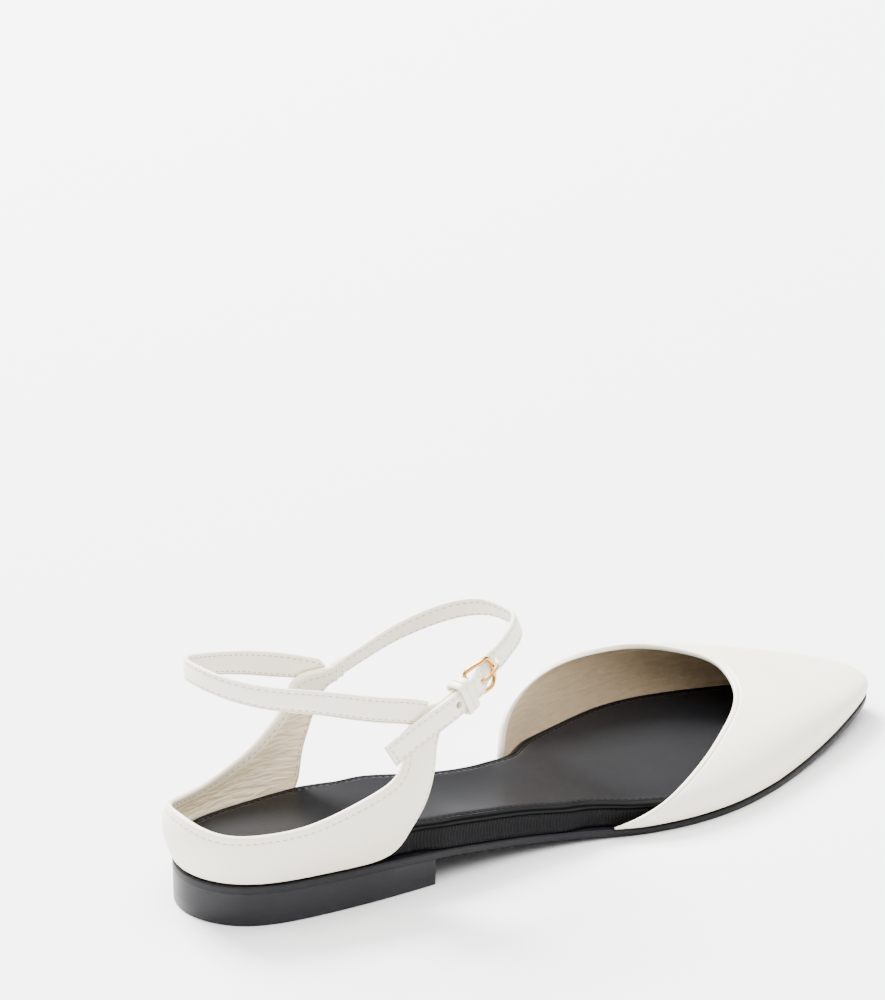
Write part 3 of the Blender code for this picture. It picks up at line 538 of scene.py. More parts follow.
def frames(centre, lean):
    """Directions along, out of and across a strap whose centre line and lean are given."""
    forward = unit(heading(centre))
    flat_out = unit(np.stack([forward[:, 1], -forward[:, 0], np.zeros(len(centre))], 1))
    middle = np.array([0.0, along(ANKLE_MIDDLE), 0.0])
    inside = np.sum(flat_out * (centre - middle), axis=1).mean() < 0
    flat_out *= -1 if inside else 1
    up = np.cross(forward, flat_out)
    up *= np.sign(up[:, 2])[:, None]
    angle = np.radians(lean)[:, None]
    outward = flat_out * np.cos(angle) + up * np.sin(angle)
    upward = up * np.cos(angle) - flat_out * np.sin(angle)
    return forward, outward, upward


def strap_course(rows, count, shares=None):
    """Course of a strap: centre line, directions along, out and across, width share."""
    half = ANKLE_HALF_WIDTH
    points = [(half * s, along(y), h * z, lean, width) for s, y, h, z, lean, width in rows]
    line = smooth_curve(points, count, shares=shares)
    return (line[:, :3], *frames(line[:, :3], line[:, 3]), line[:, 4])


def frame_on(course, distance):
    """Frame on the instep strap at a distance from the buckle towards the strap's free end."""
    run = run_along(course[0])
    return [read_at(part, run, BUCKLE_AT * run[-1] + distance) for part in course[:4]]


def on_strap(course, distance, across, out):
    """Point beside the instep strap's flat course, in its own directions."""
    centre, _, outward, upward = frame_on(course, distance)
    return centre + upward * across + outward * out


print("directions ready for", len(BACK_STRAP), "and", len(INSTEP_STRAP), "stations")

# %% [markdown]
# The strap passes over the buckle's rear bar and under its front, as on a real fastened buckle.
# The ring is a flat plan of a straight bar, two straight sides and a round front, and each of its
# points is then lifted over the strap or lowered to it.

# %% Buckle and strap where they cross
# Where the strap lifts and dips, and how far each reaches, in shares of the buckle's half length
LIFT_AT, LIFT_REACH = 0.70, 0.55
DIP_AT, DIP_REACH = 0.90, 0.85
# Share of the buckle's length in front of its middle at which the ring's sides begin to bend
RING_SHOULDER = 0.14
# Points round a corner of the ring, and round half its front
CORNER_POINTS = 5
FRONT_POINTS = 9


def buckle_half_length():
    """Half the length between the buckle's rear bar and its front, on their centre lines."""
    return (BUCKLE_LENGTH - BUCKLE_WIRE) / 2


def strap_lift(distance):
    """Lift of the instep strap over the buckle's rear bar, and its dip under the front."""
    bar = buckle_half_length()
    over = STRAP_RISE * np.exp(-((distance - bar * LIFT_AT) / (bar * LIFT_REACH)) ** 4)
    under = STRAP_DIP * np.exp(-((distance + bar * DIP_AT) / (bar * DIP_REACH)) ** 4)
    return over - under


def roll_radius():
    """Outer radius of the buckle strap's fold round the rear bar."""
    return BUCKLE_WIRE / 2 + GAP + ROLL_WALL


def rear_bar_height():
    """Height of the buckle's rear bar over the flat course of the strap."""
    return STRAP_RISE - STRAP_THICKNESS / 2 - GAP - roll_radius()


def buckle_ring(course):
    """Centre line of the buckle's wire: straight bar behind, straight sides, round front."""
    half_length = buckle_half_length()
    half_width = STRAP_WIDTH / 2 + GAP + BUCKLE_WIRE / 2
    corner = BUCKLE_CORNER
    shoulder = -BUCKLE_LENGTH * RING_SHOULDER
    plan = []
    for turn in np.linspace(0, math.pi / 2, CORNER_POINTS):
        plan.append((half_length - corner + corner * math.cos(turn),
                     half_width - corner + corner * math.sin(turn)))
    for turn in np.linspace(0, math.pi / 2, FRONT_POINTS):
        plan.append((shoulder - (half_length + shoulder) * math.sin(turn),
                     half_width * math.cos(turn)))
    plan += [(a, -b) for a, b in plan[-2::-1]]
    rear = rear_bar_height()
    front = -STRAP_DIP + STRAP_THICKNESS / 2 + GAP + BUCKLE_WIRE / 2
    points = []
    for place, across in plan:
        share = min(max((half_length - place) / (half_length - shoulder), 0), 1)
        height = rear + (front - rear) * share * share * (3 - 2 * share)
        points.append(on_strap(course, place, across, height))
    return points


print("buckle half length:", buckle_half_length())

# %% [markdown]
# Materials. Each one is named for what the real thing is. Colours are written as the hex values
# that a screen shows and turned to linear light by one function. One small function adds a node
# with its settings and links, which keeps every material short enough to read at a glance.

# %% Colour and node helpers
def linear(code):
    """Linear colour of a screen colour such as "EFEBE2"."""
    parts = [int(code[k:k + 2], 16) / 255 for k in (0, 2, 4)]
    light = [c / 12.92 if c <= 0.04045 else ((c + 0.055) / 1.055) ** 2.4 for c in parts]
    return (*light, 1.0)


def node(tree, kind, settings=None, values=None, links=None):
    """A node of a kind with its settings, socket values and incoming links."""
    new = tree.nodes.new(kind)
    for key, value in (settings or {}).items():
        setattr(new, key, value)
    for key, value in (values or {}).items():
        new.inputs[key].default_value = value
    for key, (source, output) in (links or {}).items():
        tree.links.new(source.outputs[output], new.inputs[key])
    return new


def new_finish(name, colour, roughness, **sockets):
    """A material with its shader, and Object coordinates to build patterns on."""
    material = bpy.data.materials.new(name)
    material.use_nodes = True
    tree = material.node_tree
    shader = tree.nodes["Principled BSDF"]
    shader.inputs["Base Color"].default_value = linear(colour)
    shader.inputs["Roughness"].default_value = roughness
    for key, value in sockets.items():
        shader.inputs[key.replace("_", " ")].default_value = value
    place = node(tree, "ShaderNodeTexCoord")
    return material, tree, shader, place


def two_tone(tree, shader, place, scale, first, second, low=0.35, high=0.65):
    """Slow drift between two close colours, as tanning and handling leave it."""
    cloud = node(tree, "ShaderNodeTexNoise", values={"Scale": scale, "Detail": 3.0},
                 links={"Vector": (place, "Object")})
    ramp = node(tree, "ShaderNodeValToRGB", links={"Fac": (cloud, "Fac")})
    ramp.color_ramp.elements[0].position = low
    ramp.color_ramp.elements[0].color = linear(first)
    ramp.color_ramp.elements[1].position = high
    ramp.color_ramp.elements[1].color = linear(second)
    tree.links.new(ramp.outputs["Color"], shader.inputs["Base Color"])


def grain(tree, shader, place, millimetres, depth, strength, stretch=(1, 1, 1), detail=4.0):
    """Bump whose features are as wide as the given millimetres."""
    turn = node(tree, "ShaderNodeMapping", values={"Scale": stretch},
                links={"Vector": (place, "Object")})
    cells = node(tree, "ShaderNodeTexNoise",
                 values={"Scale": 1000.0 / millimetres, "Detail": detail, "Roughness": 0.55},
                 links={"Vector": (turn, "Vector")})
    bump = node(tree, "ShaderNodeBump", values={"Strength": strength, "Distance": depth / 1000},
                links={"Height": (cells, "Fac")})
    tree.links.new(bump.outputs["Normal"], shader.inputs["Normal"])


print("white on a screen in linear light:", linear("FFFFFF"))

# %% [markdown]
# The upper is smooth calf leather, dyed ivory and pressed flat, so it has a quiet satin sheen and
# hardly any grain. Its lining is thin goat leather in beige, which creases into fine level
# wrinkles where the wing bends. Sculpting them would take a very fine mesh, so they are a noise
# that is drawn out along the leather and lifts it as a bump, and the same noise paints shade into
# the colour, darker in the hollows. The toe's lining hardly creases. It is darker and warmer than
# the wing's lining, partly as its own tone and partly as painted shade inside the toe.

# %% Leathers of the upper
def ivory_calf():
    # Pigmented calf: soft satin highlight, very fine pores
    made, tree, shader, place = new_finish("ivory_calf_leather", "F2E9D4", 0.40, IOR=1.5)
    two_tone(tree, shader, place, 28.0, "F1E8D2", "F4ECDA")
    grain(tree, shader, place, 0.7, 0.12, 0.16)
    return made


CREASE_MILLIMETRES = 1.2


def goat_lining(name, depth, dark, light):
    # Unfinished goat leather: matt, warm beige, with level creases about 1.2 mm apart
    made, tree, shader, place = new_finish(name, light, 0.6, IOR=1.5)
    turn = node(tree, "ShaderNodeMapping", values={"Scale": (0.2, 0.2, 1.0)},
                links={"Vector": (place, "Object")})
    creases = node(tree, "ShaderNodeTexNoise",
                   values={"Scale": 1000.0 / CREASE_MILLIMETRES, "Detail": 1.5,
                           "Roughness": 0.4, "Distortion": 0.5},
                   links={"Vector": (turn, "Vector")})
    # Painted shade: the colour follows the crease noise, darker in its hollows
    ramp = node(tree, "ShaderNodeValToRGB", links={"Fac": (creases, "Fac")})
    ramp.color_ramp.elements[0].position = 0.3
    ramp.color_ramp.elements[0].color = linear(dark)
    ramp.color_ramp.elements[1].position = 0.6
    ramp.color_ramp.elements[1].color = linear(light)
    tree.links.new(ramp.outputs["Color"], shader.inputs["Base Color"])
    bump = node(tree, "ShaderNodeBump", values={"Strength": 0.8, "Distance": depth / 1000},
                links={"Height": (creases, "Fac")})
    tree.links.new(bump.outputs["Normal"], shader.inputs["Normal"])
    return made


IVORY = ivory_calf()
CREASED_LINING = goat_lining("creased_goat_lining", 0.8, "D2BF9E", "E2D2B8")
# The toe's lining is darker and warmer than the wing's: partly its own tone, partly painted shade
# inside the toe
SMOOTH_SHADED_LINING = goat_lining("smooth_goat_lining_painted_shade", 0.12, "BDA683", "C5AE8E")
print("upper finishes:", IVORY.name, CREASED_LINING.name, SMOOTH_SHADED_LINING.name)

# %% [markdown]
# Below the foot everything is black. The footbed is covered in smooth leather with a soft sheen,
# and its side is wrapped in ribbed tape. The outsole is waxed leather. The heel is a stack of
# leather layers under lacquer, which shows as faint level lines. A black that is a little
# uneven looks real, so each one drifts slowly between two close tones and has its own grain.

# %% Blacks of the sole
def black_footbed_leather():
    # Smooth dyed sheepskin: dark grey where the light grazes, with a fine grain of 0.9 mm
    made, tree, shader, place = new_finish("black_sheepskin_footbed", "0D0D10", 0.42,
                                           IOR=1.45, Specular_IOR_Level=0.14)
    two_tone(tree, shader, place, 22.0, "0B0B0D", "101013")
    grain(tree, shader, place, 0.9, 0.15, 0.22)
    return made


def black_edge_painted_shade():
    # The cover's rolled edge: smoother than the cover, and painted blacker than it as shade
    made, tree, shader, place = new_finish("black_edge_painted_shade", "040405", 0.28,
                                           IOR=1.5, Specular_IOR_Level=0.08)
    two_tone(tree, shader, place, 40.0, "030304", "050506")
    grain(tree, shader, place, 0.9, 0.08, 0.15)
    return made


def black_grosgrain():
    # Ribbed viscose tape: matt threads, drawn 0.5 mm long so that they show. The ribs are mesh
    made, tree, shader, place = new_finish("black_grosgrain_tape", "08080A", 0.55,
                                           IOR=1.46, Specular_IOR_Level=0.12)
    grain(tree, shader, place, 0.5, 0.06, 0.3, (1, 1, 3), 2.0)
    return made


def lacquered_stack():
    # Layers of sole leather under black lacquer: a soft gloss, with level lines 0.75 mm apart
    made, tree, shader, place = new_finish("black_lacquered_leather", "131318", 0.34,
                                           IOR=1.5, Specular_IOR_Level=0.2)
    two_tone(tree, shader, place, 35.0, "111115", "18181C")
    grain(tree, shader, place, 6.0, 0.10, 0.35, (0.35, 0.35, 8.0), 3.0)
    return made


def waxed_sole():
    # Sole leather, dyed black and waxed: satin, lightly scuffed
    made, tree, shader, place = new_finish("black_waxed_sole_leather", "131316", 0.45,
                                           IOR=1.5, Specular_IOR_Level=0.18)
    two_tone(tree, shader, place, 45.0, "101013", "151518")
    grain(tree, shader, place, 1.6, 0.10, 0.2)
    return made


# The second black is the footbed's rolled edge, painted blacker than the cover as shade
FOOTBED, SHADED_EDGE, TAPE = black_footbed_leather(), black_edge_painted_shade(), black_grosgrain()
STACK, WAXED = lacquered_stack(), waxed_sole()
print("sole finishes:", FOOTBED.name, SHADED_EDGE.name, TAPE.name, STACK.name, WAXED.name)

# %% [markdown]
# The metal is brass with a thin pale gold plating, polished, with the smallest scratches. The
# threads are waxed polyester, ivory on the upper and black on the footbed. The ivory thread is
# painted a greyer beige, as shade where its stitches sink into the leather.

# %% Metal and threads
def plated_brass():
    # Pale gold plating on polished brass: mirror-like, warm
    made, tree, shader, place = new_finish("pale_gold_plated_brass", "C8954C", 0.15, Metallic=1.0)
    grain(tree, shader, place, 0.6, 0.01, 0.08)
    return made


def waxed_thread(name, colour, sheen):
    # Twisted polyester with wax: a soft highlight across each twist, 0.3 mm long
    made, tree, shader, place = new_finish(name, colour, 0.55, IOR=1.5, Specular_IOR_Level=sheen)
    grain(tree, shader, place, 0.3, 0.05, 0.4, detail=1.0)
    return made


GOLD = plated_brass()
# The ivory thread is painted a greyer beige than ivory, as shade where its stitches sink into the
# leather
SHADED_IVORY_THREAD = waxed_thread("ivory_waxed_thread_painted_shade", "A39B8A", 0.5)
BLACK_THREAD = waxed_thread("black_waxed_thread", "040405", 0.06)
print("metal and threads:", GOLD.name, SHADED_IVORY_THREAD.name, BLACK_THREAD.name)

# %% [markdown]
# Nearly every piece is a grid of bmesh, bent over its lines. A grid is made flat by one operator
# and its points are then put in place. Points that meet are merged, open ends are filled, and the
# faces are turned outwards. A subdivided cage would round such a piece too, but a fine grid keeps
# the seams and the rolled edges exactly where their sizes put them.

# %% A grid bent into a closed piece
def stand(name, body):
    """An object in the scene with the mesh of a bmesh."""
    mesh = bpy.data.meshes.new(name)
    body.to_mesh(mesh)
    body.free()
    made = bpy.data.objects.new(name, mesh)
    bpy.context.scene.collection.objects.link(made)
    return made


def piece(name, grid, materials, bands=None, replaces=(), smooth=50):
    """A closed surface through rows of points. bands gives a material number to each row."""
    rows, columns = grid.shape[:2]
    body = bmesh.new()
    bmesh.ops.create_grid(body, x_segments=columns - 1, y_segments=rows - 1, size=1)
    body.verts.ensure_lookup_table()
    for vert, point in zip(body.verts, grid.reshape(-1, 3)):
        vert.co = point
    for face in body.faces:
        row = min(vert.index for vert in face.verts) // columns
        face.material_index = bands[row] if bands is not None else 0
    bmesh.ops.remove_doubles(body, verts=body.verts, dist=MERGE_DISTANCE)
    bmesh.ops.dissolve_degenerate(body, dist=MERGE_DISTANCE / 20, edges=body.edges)
    bmesh.ops.holes_fill(body, edges=[e for e in body.edges if e.is_boundary], sides=0)
    return settle(name, body, materials, replaces, smooth)


def settle(name, body, materials, replaces=(), smooth=50):
    """Turn the faces outwards, make the object and let it ride with the shoe."""
    body.normal_update()
    bmesh.ops.recalc_face_normals(body, faces=body.faces)
    if body.calc_volume(signed=True) < 0:
        bmesh.ops.reverse_faces(body, faces=body.faces)
    open_edges = sum(not edge.is_manifold for edge in body.edges)
    made = stand(name, body)
    for material in materials:
        made.data.materials.append(material)
    made.data.shade_smooth()
    made.data.set_sharp_from_angle(angle=math.radians(smooth))
    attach(made, "root")
    for target in replaces:
        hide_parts(target)
    print(name, len(made.data.polygons), "faces,", open_edges, "open edges")
    return made


# %% [markdown]
# A wall of leather has an outside, a lining and two rolled edges. Its section is walked once
# round for each station: up the outside, over the top edge, down the lining and round the lower
# edge. A seam is a shallow groove in the outside, a little in from the edge, and the stitches
# lie in it.

# %% Walls of leather
# Distances from a seam at which the surface has points, the number of its own point counted
# from the edge, and the reach of its groove
SEAM_STEPS = (0.0002, 0.00045, 0.0008, 0.0016)
SEAM_POINT = 4
GROOVE_REACH = 0.00025
# Where the close points of an edge lie when it has no seam
LOW_EDGE = 0.0015
HIGH_EDGE = 0.0026
# Share of a narrow wall that its two edges may take up
EDGE_SHARE = 0.9
# Points round a rolled edge
EDGE_POINTS = 6
# A wall thins out where its piece is narrower than this, down to a share of its thickness
FULL_WALL_WIDTH = 0.009
THINNEST_SHARE = 0.2


def seam_places(width, wall, low, high, steps):
    """Distances across a wall, close together at its edges and seams. A seam may be None."""
    ends = []
    for seam, plain in ((low, LOW_EDGE), (high, HIGH_EDGE)):
        at = plain if seam is None else seam
        edge, groove = wall / 2, at - SEAM_STEPS[1]
        before = [edge, (edge + groove) / 2, groove, at - SEAM_STEPS[0], at]
        ends.append(np.array(before + [at + step for step in SEAM_STEPS]))
    fit = min(1.0, width * EDGE_SHARE / (ends[0][-1] + ends[1][-1]))
    first, last = ends[0] * fit, width - ends[1][::-1] * fit
    return np.concatenate([first, np.linspace(first[-1], last[0], steps + 2)[1:-1], last])


def wall_section(lines, wall, low, high, steps, side, crown=0.0, depth=0.00022):
    """Closed sections of a wall, one per station, and the courses of its seams."""
    lines = np.asarray(lines)
    widths = np.linalg.norm(np.diff(lines, axis=1), axis=2).sum(1)
    place = np.array([seam_places(width, wall, low, high, steps) for width in widths])
    face = np.stack([walk(line, at) for line, at in zip(lines, place)])
    rise = unit(np.gradient(face, axis=1))
    out = unit(np.cross(np.gradient(face, axis=0), rise) * side)
    groove = np.zeros_like(place)
    for seam, distance in ((low, place), (high, widths[:, None] - place)):
        if seam is not None:
            groove += depth * np.exp(-((distance - seam) / GROOVE_REACH) ** 2)
    swell = crown * (1 - (2 * place / widths[:, None] - 1) ** 2)
    outside = face + out * (swell - groove)[..., None]
    thick = wall * np.clip(widths / FULL_WALL_WIDTH, THINNEST_SHARE, 1)[:, None]
    inside = face - out * thick[..., None]
    top = inside[:, -1] + out[:, -1] * thick / 2
    foot = inside[:, 0] + out[:, 0] * thick / 2
    over, under = [], []
    for turn in np.linspace(0, math.pi, EDGE_POINTS + 2)[1:-1]:
        aside, ahead = math.cos(turn), math.sin(turn)
        over.append(top + (out[:, -1] * aside + rise[:, -1] * ahead) * thick / 2)
        under.append(foot - (out[:, 0] * aside + rise[:, 0] * ahead) * thick / 2)
    count = outside.shape[1]
    rows = [outside[:, k] for k in range(count)]
    rows += over + [inside[:, k] for k in range(count - 1, -1, -1)] + under[::-1] + [rows[0]]
    seams = {}
    for skin, sign, where in ((outside, 1, ""), (inside, -1, " inside")):
        for name, at in (("low", SEAM_POINT), ("high", -1 - SEAM_POINT)):
            seams[name + where] = (skin[:, at], sign * out[:, at])
    return np.array(rows), seams, count


def wall_bands(rows, count, rim=8):
    """Material numbers: 0 for the outside, the edges and a rim inside, 1 for the lining."""
    bands = np.zeros(rows, int)
    bands[count + EDGE_POINTS + rim:2 * count + EDGE_POINTS - 1] = 1
    return bands


print("points round a rolled edge:", EDGE_POINTS)


# %% [markdown]
# Stitches are short, thick threads that dip into the leather at both ends. Each is a small ball
# stretched along the seam. A few dozen faces are enough, because there are hundreds of them.

# %% Rows of stitches
# Sizes of a stitch, and the share of its thickness by which it sinks into the leather
STITCH_PITCH = 0.0023
STITCH_LENGTH = 0.0015
STITCH_THICKNESS = 0.0004
STITCH_SINK = 0.08


def one_stitch():
    """A small ball, the shape that every stitch starts from."""
    body = bmesh.new()
    bmesh.ops.create_uvsphere(body, u_segments=6, v_segments=5, radius=1)
    mesh = bpy.data.meshes.new("one_stitch")
    body.to_mesh(mesh)
    body.free()
    return mesh


STITCH = one_stitch()


def stitches(name, courses, thread):
    """One piece with all the stitches along several courses of points and normals."""
    body = bmesh.new()
    number = 0
    half, thick = STITCH_LENGTH / 2, STITCH_THICKNESS / 2
    for points, normals in courses:
        run = run_along(points)
        for at in np.arange(STITCH_PITCH / 2, run[-1] - STITCH_PITCH / 3, STITCH_PITCH):
            ends = [read_at(points, run, at + shift) for shift in (-half, half)]
            along_seam = Vector(ends[1] - ends[0]).normalized()
            across = Vector(read_at(normals, run, at)).normalized().cross(along_seam).normalized()
            out = along_seam.cross(across)
            turn = Matrix((along_seam, across, out)).transposed().to_4x4()
            size = Matrix.Diagonal((half, thick, thick, 1))
            middle = Vector((ends[0] + ends[1]) / 2) - out * STITCH_THICKNESS * STITCH_SINK
            place = Matrix.Translation(middle) @ turn @ size
            STITCH.transform(place)
            body.from_mesh(STITCH)
            STITCH.transform(place.inverted())
            number += 1
    made = settle(name, body, [thread], smooth=180)
    print(number, "stitches")
    return made


print("faces of one stitch:", len(STITCH.polygons))


# %% [markdown]
# The sole: outsole and heel are stacks of outlines. Each outline is a little smaller than the
# one before where an edge is rounded, and the first and the last close on the middle line. A
# bevel would round an edge too, but its width couldn't fade out where the heel meets the sole.

# %% Outlines stacked into a solid
def outline_ring(y, outer, inner, z_outer, z_inner, shrink=0.0):
    """A closed ring of points: out along the outer side and back along the inner side."""
    middle = (outer + inner) / 2
    outer = outer + (middle - outer) * shrink
    inner = inner + (middle - inner) * shrink
    ahead = np.stack([outer, y, z_outer], 1)
    back = np.stack([inner, y, z_inner], 1)[::-1]
    return np.vstack([ahead, back, ahead[:1]])


def closing_rings(sides, height, shrinks):
    """Rings at one height that close an outline on its middle line."""
    return [outline_ring(*sides, height, height, shrink) for shrink in shrinks]


# Edges of outsole and heel from the bottom up: inset and share of the height
OUTSOLE_EDGE = [
    (0.0007, 0.0),
    (0.0002, 0.02),
    (0.0, 0.12),
    (0.0, 0.5),
    (0.0, 0.8),
    (0.0001, 0.92),
    (0.0004, 0.98),
    (0.0009, 1.0),
]
HEEL_EDGE = [
    (0.0008, 0.0),
    (0.0003, 0.015),
    (0.0001, 0.05),
    (0.0001, 0.4),
    (0.00005, 0.7),
    (0.0, 1.0),
]
# Stations along the outsole and the heel
OUTSOLE_STEPS = 260
HEEL_STEPS = 70
# Fine line between outsole and heel
JOINT_LINE = 0.00006
# Length over which the outsole's lower edge turns from sharp to round in front of the heel, and
# the share of the rounding that stays over the heel
EDGE_FADE = 0.012
SHARP_SHARE = 0.03


def make_outsole():
    """Thin leather sole, sharp over the heel and rounded below in front of it."""
    plan = smooth_curve(outline()[:-1:5], DENSE_STEPS, closed=True)
    front = BREAST_SETBACK - HEEL_REST_SETBACK
    soft = np.clip((plan[:, 1] - front) / EDGE_FADE, SHARP_SHARE, 1)
    sides = two_sides(moved_inward(plan, OUTSOLE_EDGE[0][0] * soft), OUTSOLE_STEPS)
    rows = closing_rings(sides, outsole_underside(sides[0]), (1.0, 0.66, 0.33))
    for inset, part in OUTSOLE_EDGE:
        rounding = inset * (soft if part < 0.5 else 1)
        y, outer, inner = two_sides(moved_inward(plan, rounding), OUTSOLE_STEPS)
        low, high = outsole_underside(y), seat_height(y)
        z = low + (high - low) * part
        rows.append(outline_ring(y, outer, inner, z, z))
    rows += closing_rings((y, outer, inner), high, (0.5, 1.0))
    return piece("outsole_leather", np.array(rows), [WAXED], replaces=["outsole"], smooth=60)


def make_heel():
    """Low stacked block with a straight breast."""
    plan = outline()
    front = BREAST_SETBACK - HEEL_REST_SETBACK
    sides = two_sides(moved_inward(plan, HEEL_EDGE[0][0]), HEEL_STEPS, front)
    rows = closing_rings(sides, sides[0] * 0, (1.0, 0.5))
    for inset, part in HEEL_EDGE:
        y, outer, inner = two_sides(moved_inward(plan, inset), HEEL_STEPS, front)
        top = outsole_underside(y) - JOINT_LINE
        rows.append(outline_ring(y, outer, inner, top * part, top * part))
    rows += closing_rings((y, outer, inner), top, (0.5, 1.0))
    return piece("stacked_heel", np.array(rows), [STACK], replaces=["heel"], smooth=40)


make_outsole()
make_heel()

# %% [markdown]
# The footbed is soft: a leather cover rolls over its edge and is hollowed a little for the foot.
# It could be one padded block with a bevel, but its rolled edge is a narrow band, painted blacker
# than the cover as shade, with a row of stitches beside it. So its section is a table of rows from
# the base, up the side, over the roll and through the seam, and each row runs once round the footbed.

# %% Inset of the footbed and its leather cover
# Share of the length over which the bare side of the footbed blends into the covered one
FOOTBED_BLEND = 0.044
# How far the cover spreads over its base at the heel and at the ball, and the depth of the hollow
HEEL_SPREAD = 0.0015
BALL_SPREAD = 0.0016
HOLLOW_DEPTH = 0.0009
# Shares of the length at which spread and hollow end, and over which they fade out before
SPREAD_END = 0.88
HOLLOW_END = 0.95
TOE_FADE = 0.2
# Rows up the rolled edge and through the seam: inset and depth below the top
ROLLED_EDGE = [
    (0.0, 0.0042),
    (0.0, 0.0026),
    (-0.0001, 0.0023),
    (-0.0005, 0.0018),
    (-0.0005, 0.0012),
    (-0.0002, 0.0006),
    (0.0003, 0.0002),
    (0.0009, 0.00002),
    (0.0015, 0.00012),
    (0.0018, 0.0004),
]
SEAM_ROWS = [
    (0.0021, 0.00005),
    (FOOTBED_SEAM_INSET - 0.0003, 0.0),
    (FOOTBED_SEAM_INSET, 0.00025),
    (FOOTBED_SEAM_INSET + 0.0003, 0.0),
    (FOOTBED_SEAM_INSET + 0.0012, 0.0),
]
# Depth below the top at which the cover begins to spread, and the height in which it does so
SPREAD_FROM = 0.0042
SPREAD_OVER = 0.0016
# Height of the thread over the floor of its groove
THREAD_LIFT = 0.0002
# Rows of the base, and the rows of the rolled edge, painted blacker as shade, that follow them
BASE_ROWS = 4
SHADED_EDGE_ROWS = 9
FOOTBED_STEPS = 170


def footbed_inset():
    """Inset of the footbed's side from the sole's edge."""
    share = share_at(outline()[:, 1])
    covered = FEATHER_INSET + max(VAMP_WALL, COUNTER_WALL) + 2 * GAP
    rise = np.clip((share - WING_FOOT - FOOTBED_BLEND) / FOOTBED_BLEND, 0, 1)
    fall = np.clip((VAMP_INNER_END - share) / FOOTBED_BLEND, 0, 1)
    bare = np.minimum(rise, fall)
    bare = bare * bare * (3 - 2 * bare)
    toe = np.clip((share - VAMP_OUTER_END) / (1 - VAMP_OUTER_END), 0, 1)
    return covered + (FOOTBED_SIDE_INSET - covered) * bare + FOOTBED_TOE_INSET * toe * toe


def footbed_spread():
    """How far the cover spreads over the footbed's base where the upper leaves it room."""
    plan = outline()
    share = share_at(plan[:, 1])
    heel = np.clip((WING_FOOT + FOOTBED_BLEND - share) / FOOTBED_BLEND, 0, 1)
    start = np.where(plan[:, 0] > 0, VAMP_OUTER_END + FOOTBED_BLEND, VAMP_INNER_END)
    ball = np.clip((share - start) / FOOTBED_BLEND, 0, 1)
    ball *= np.clip((SPREAD_END - share) / TOE_FADE, 0, 1)
    return HEEL_SPREAD * heel + BALL_SPREAD * ball


def hollow(x, y, half, middle):
    """Depth of the hollow that takes the foot, nothing at the edge."""
    depth = HOLLOW_DEPTH * np.clip((HOLLOW_END - share_at(y)) / TOE_FADE, 0, 1)
    return depth * np.clip(1 - ((x - middle) / np.maximum(half, 1e-4)) ** 2, 0, 1)


def make_footbed():
    """The footbed's cover, its rolled edge painted blacker as shade, and the course of its stitches.
    """
    plan, side = outline(), footbed_inset()
    y, outer, inner = two_sides(moved_inward(plan, side), FOOTBED_STEPS)
    base = seat_height(y) + GAP
    rows = closing_rings((y, outer, inner), base, (1.0, 0.5, 0.0))
    for inset, drop in ROLLED_EDGE + SEAM_ROWS:
        spread = footbed_spread() * np.clip((SPREAD_FROM - drop) / SPREAD_OVER, 0, 1)
        y, outer, inner = two_sides(moved_inward(plan, side - spread + inset), FOOTBED_STEPS)
        rows.append(outline_ring(y, outer, inner, np.maximum(footbed_top(y, outer) - drop, base),
                                 np.maximum(footbed_top(y, inner) - drop, base)))
        if inset == FOOTBED_SEAM_INSET:
            course = rows[-1] + np.array([0, 0, THREAD_LIFT])
    middle, half = (outer + inner) / 2, (outer - inner) / 2
    for shrink in (0.1, 0.22, 0.36, 0.52, 0.68, 0.84, 1.0):
        xo, xi = outer + (middle - outer) * shrink, inner + (middle - inner) * shrink
        zo = footbed_top(y, xo) - hollow(xo, y, half, middle)
        zi = footbed_top(y, xi) - hollow(xi, y, half, middle)
        rows.append(outline_ring(y, xo, xi, zo, zi))
    # The rolled edge takes the second material, painted blacker than the cover as shade
    bands = [0] * BASE_ROWS + [1] * SHADED_EDGE_ROWS + [0] * len(rows)
    made = piece("footbed_cover", np.array(rows), [FOOTBED, SHADED_EDGE], bands, ["insole"], 70)
    return made, course


FOOTBED_COVER, FOOTBED_SEAM = make_footbed()
up = np.tile([0.0, 0.0, 1.0], (len(FOOTBED_SEAM), 1))
stitches("footbed_stitches", [(FOOTBED_SEAM, up)], BLACK_THREAD)

# %% [markdown]
# Below the roll, a ribbed tape is wound round the footbed's side where the upper leaves it bare.
# The ribs stand upright, 1.15 mm apart, bow a little and waver as a tape that is glued by hand
# does. A bump would do from afar, but it leaves both edges of the tape straight, so the ribs are
# real folds of the surface. Each row of the tape is pushed out by a wave.

# %% Ribbed tape round the footbed's side
RIB_PITCH = 0.00115
RIB_HEIGHT = 0.00034
TAPE_THICKNESS = 0.00035
# Points across each rib, and stations along the side before they are spaced evenly
RIB_POINTS = 8
SIDE_STEPS = 900
# Distance of the tape over the outsole and below the footbed's top, and its glue line
TAPE_FOOT = 0.0005
TAPE_HEAD = 0.0023
TAPE_SINK = 0.0001
# How far a rib bows at half its height and how far the ribs waver, in pitches, and the length
# along the side in which the wavering turns by one radian
RIB_BOW = 0.55
RIB_WAVER = 0.12
WAVER_LENGTH = 0.006
# Rows of the tape from the foot up: share of the height, of the thickness, and of the rib
TAPE_SECTION = [
    (0.0, 0.0, 0),
    (0.0, 0.6, 0),
    (0.03, 0.95, 1),
    (0.12, 1.0, 1),
    (0.3, 1.0, 1),
    (0.5, 1.0, 1),
    (0.7, 1.0, 1),
    (0.88, 1.0, 1),
    (0.97, 0.95, 1),
    (1.0, 0.6, 0),
    (1.0, 0.0, 0),
    (0.0, 0.0, 0),
]


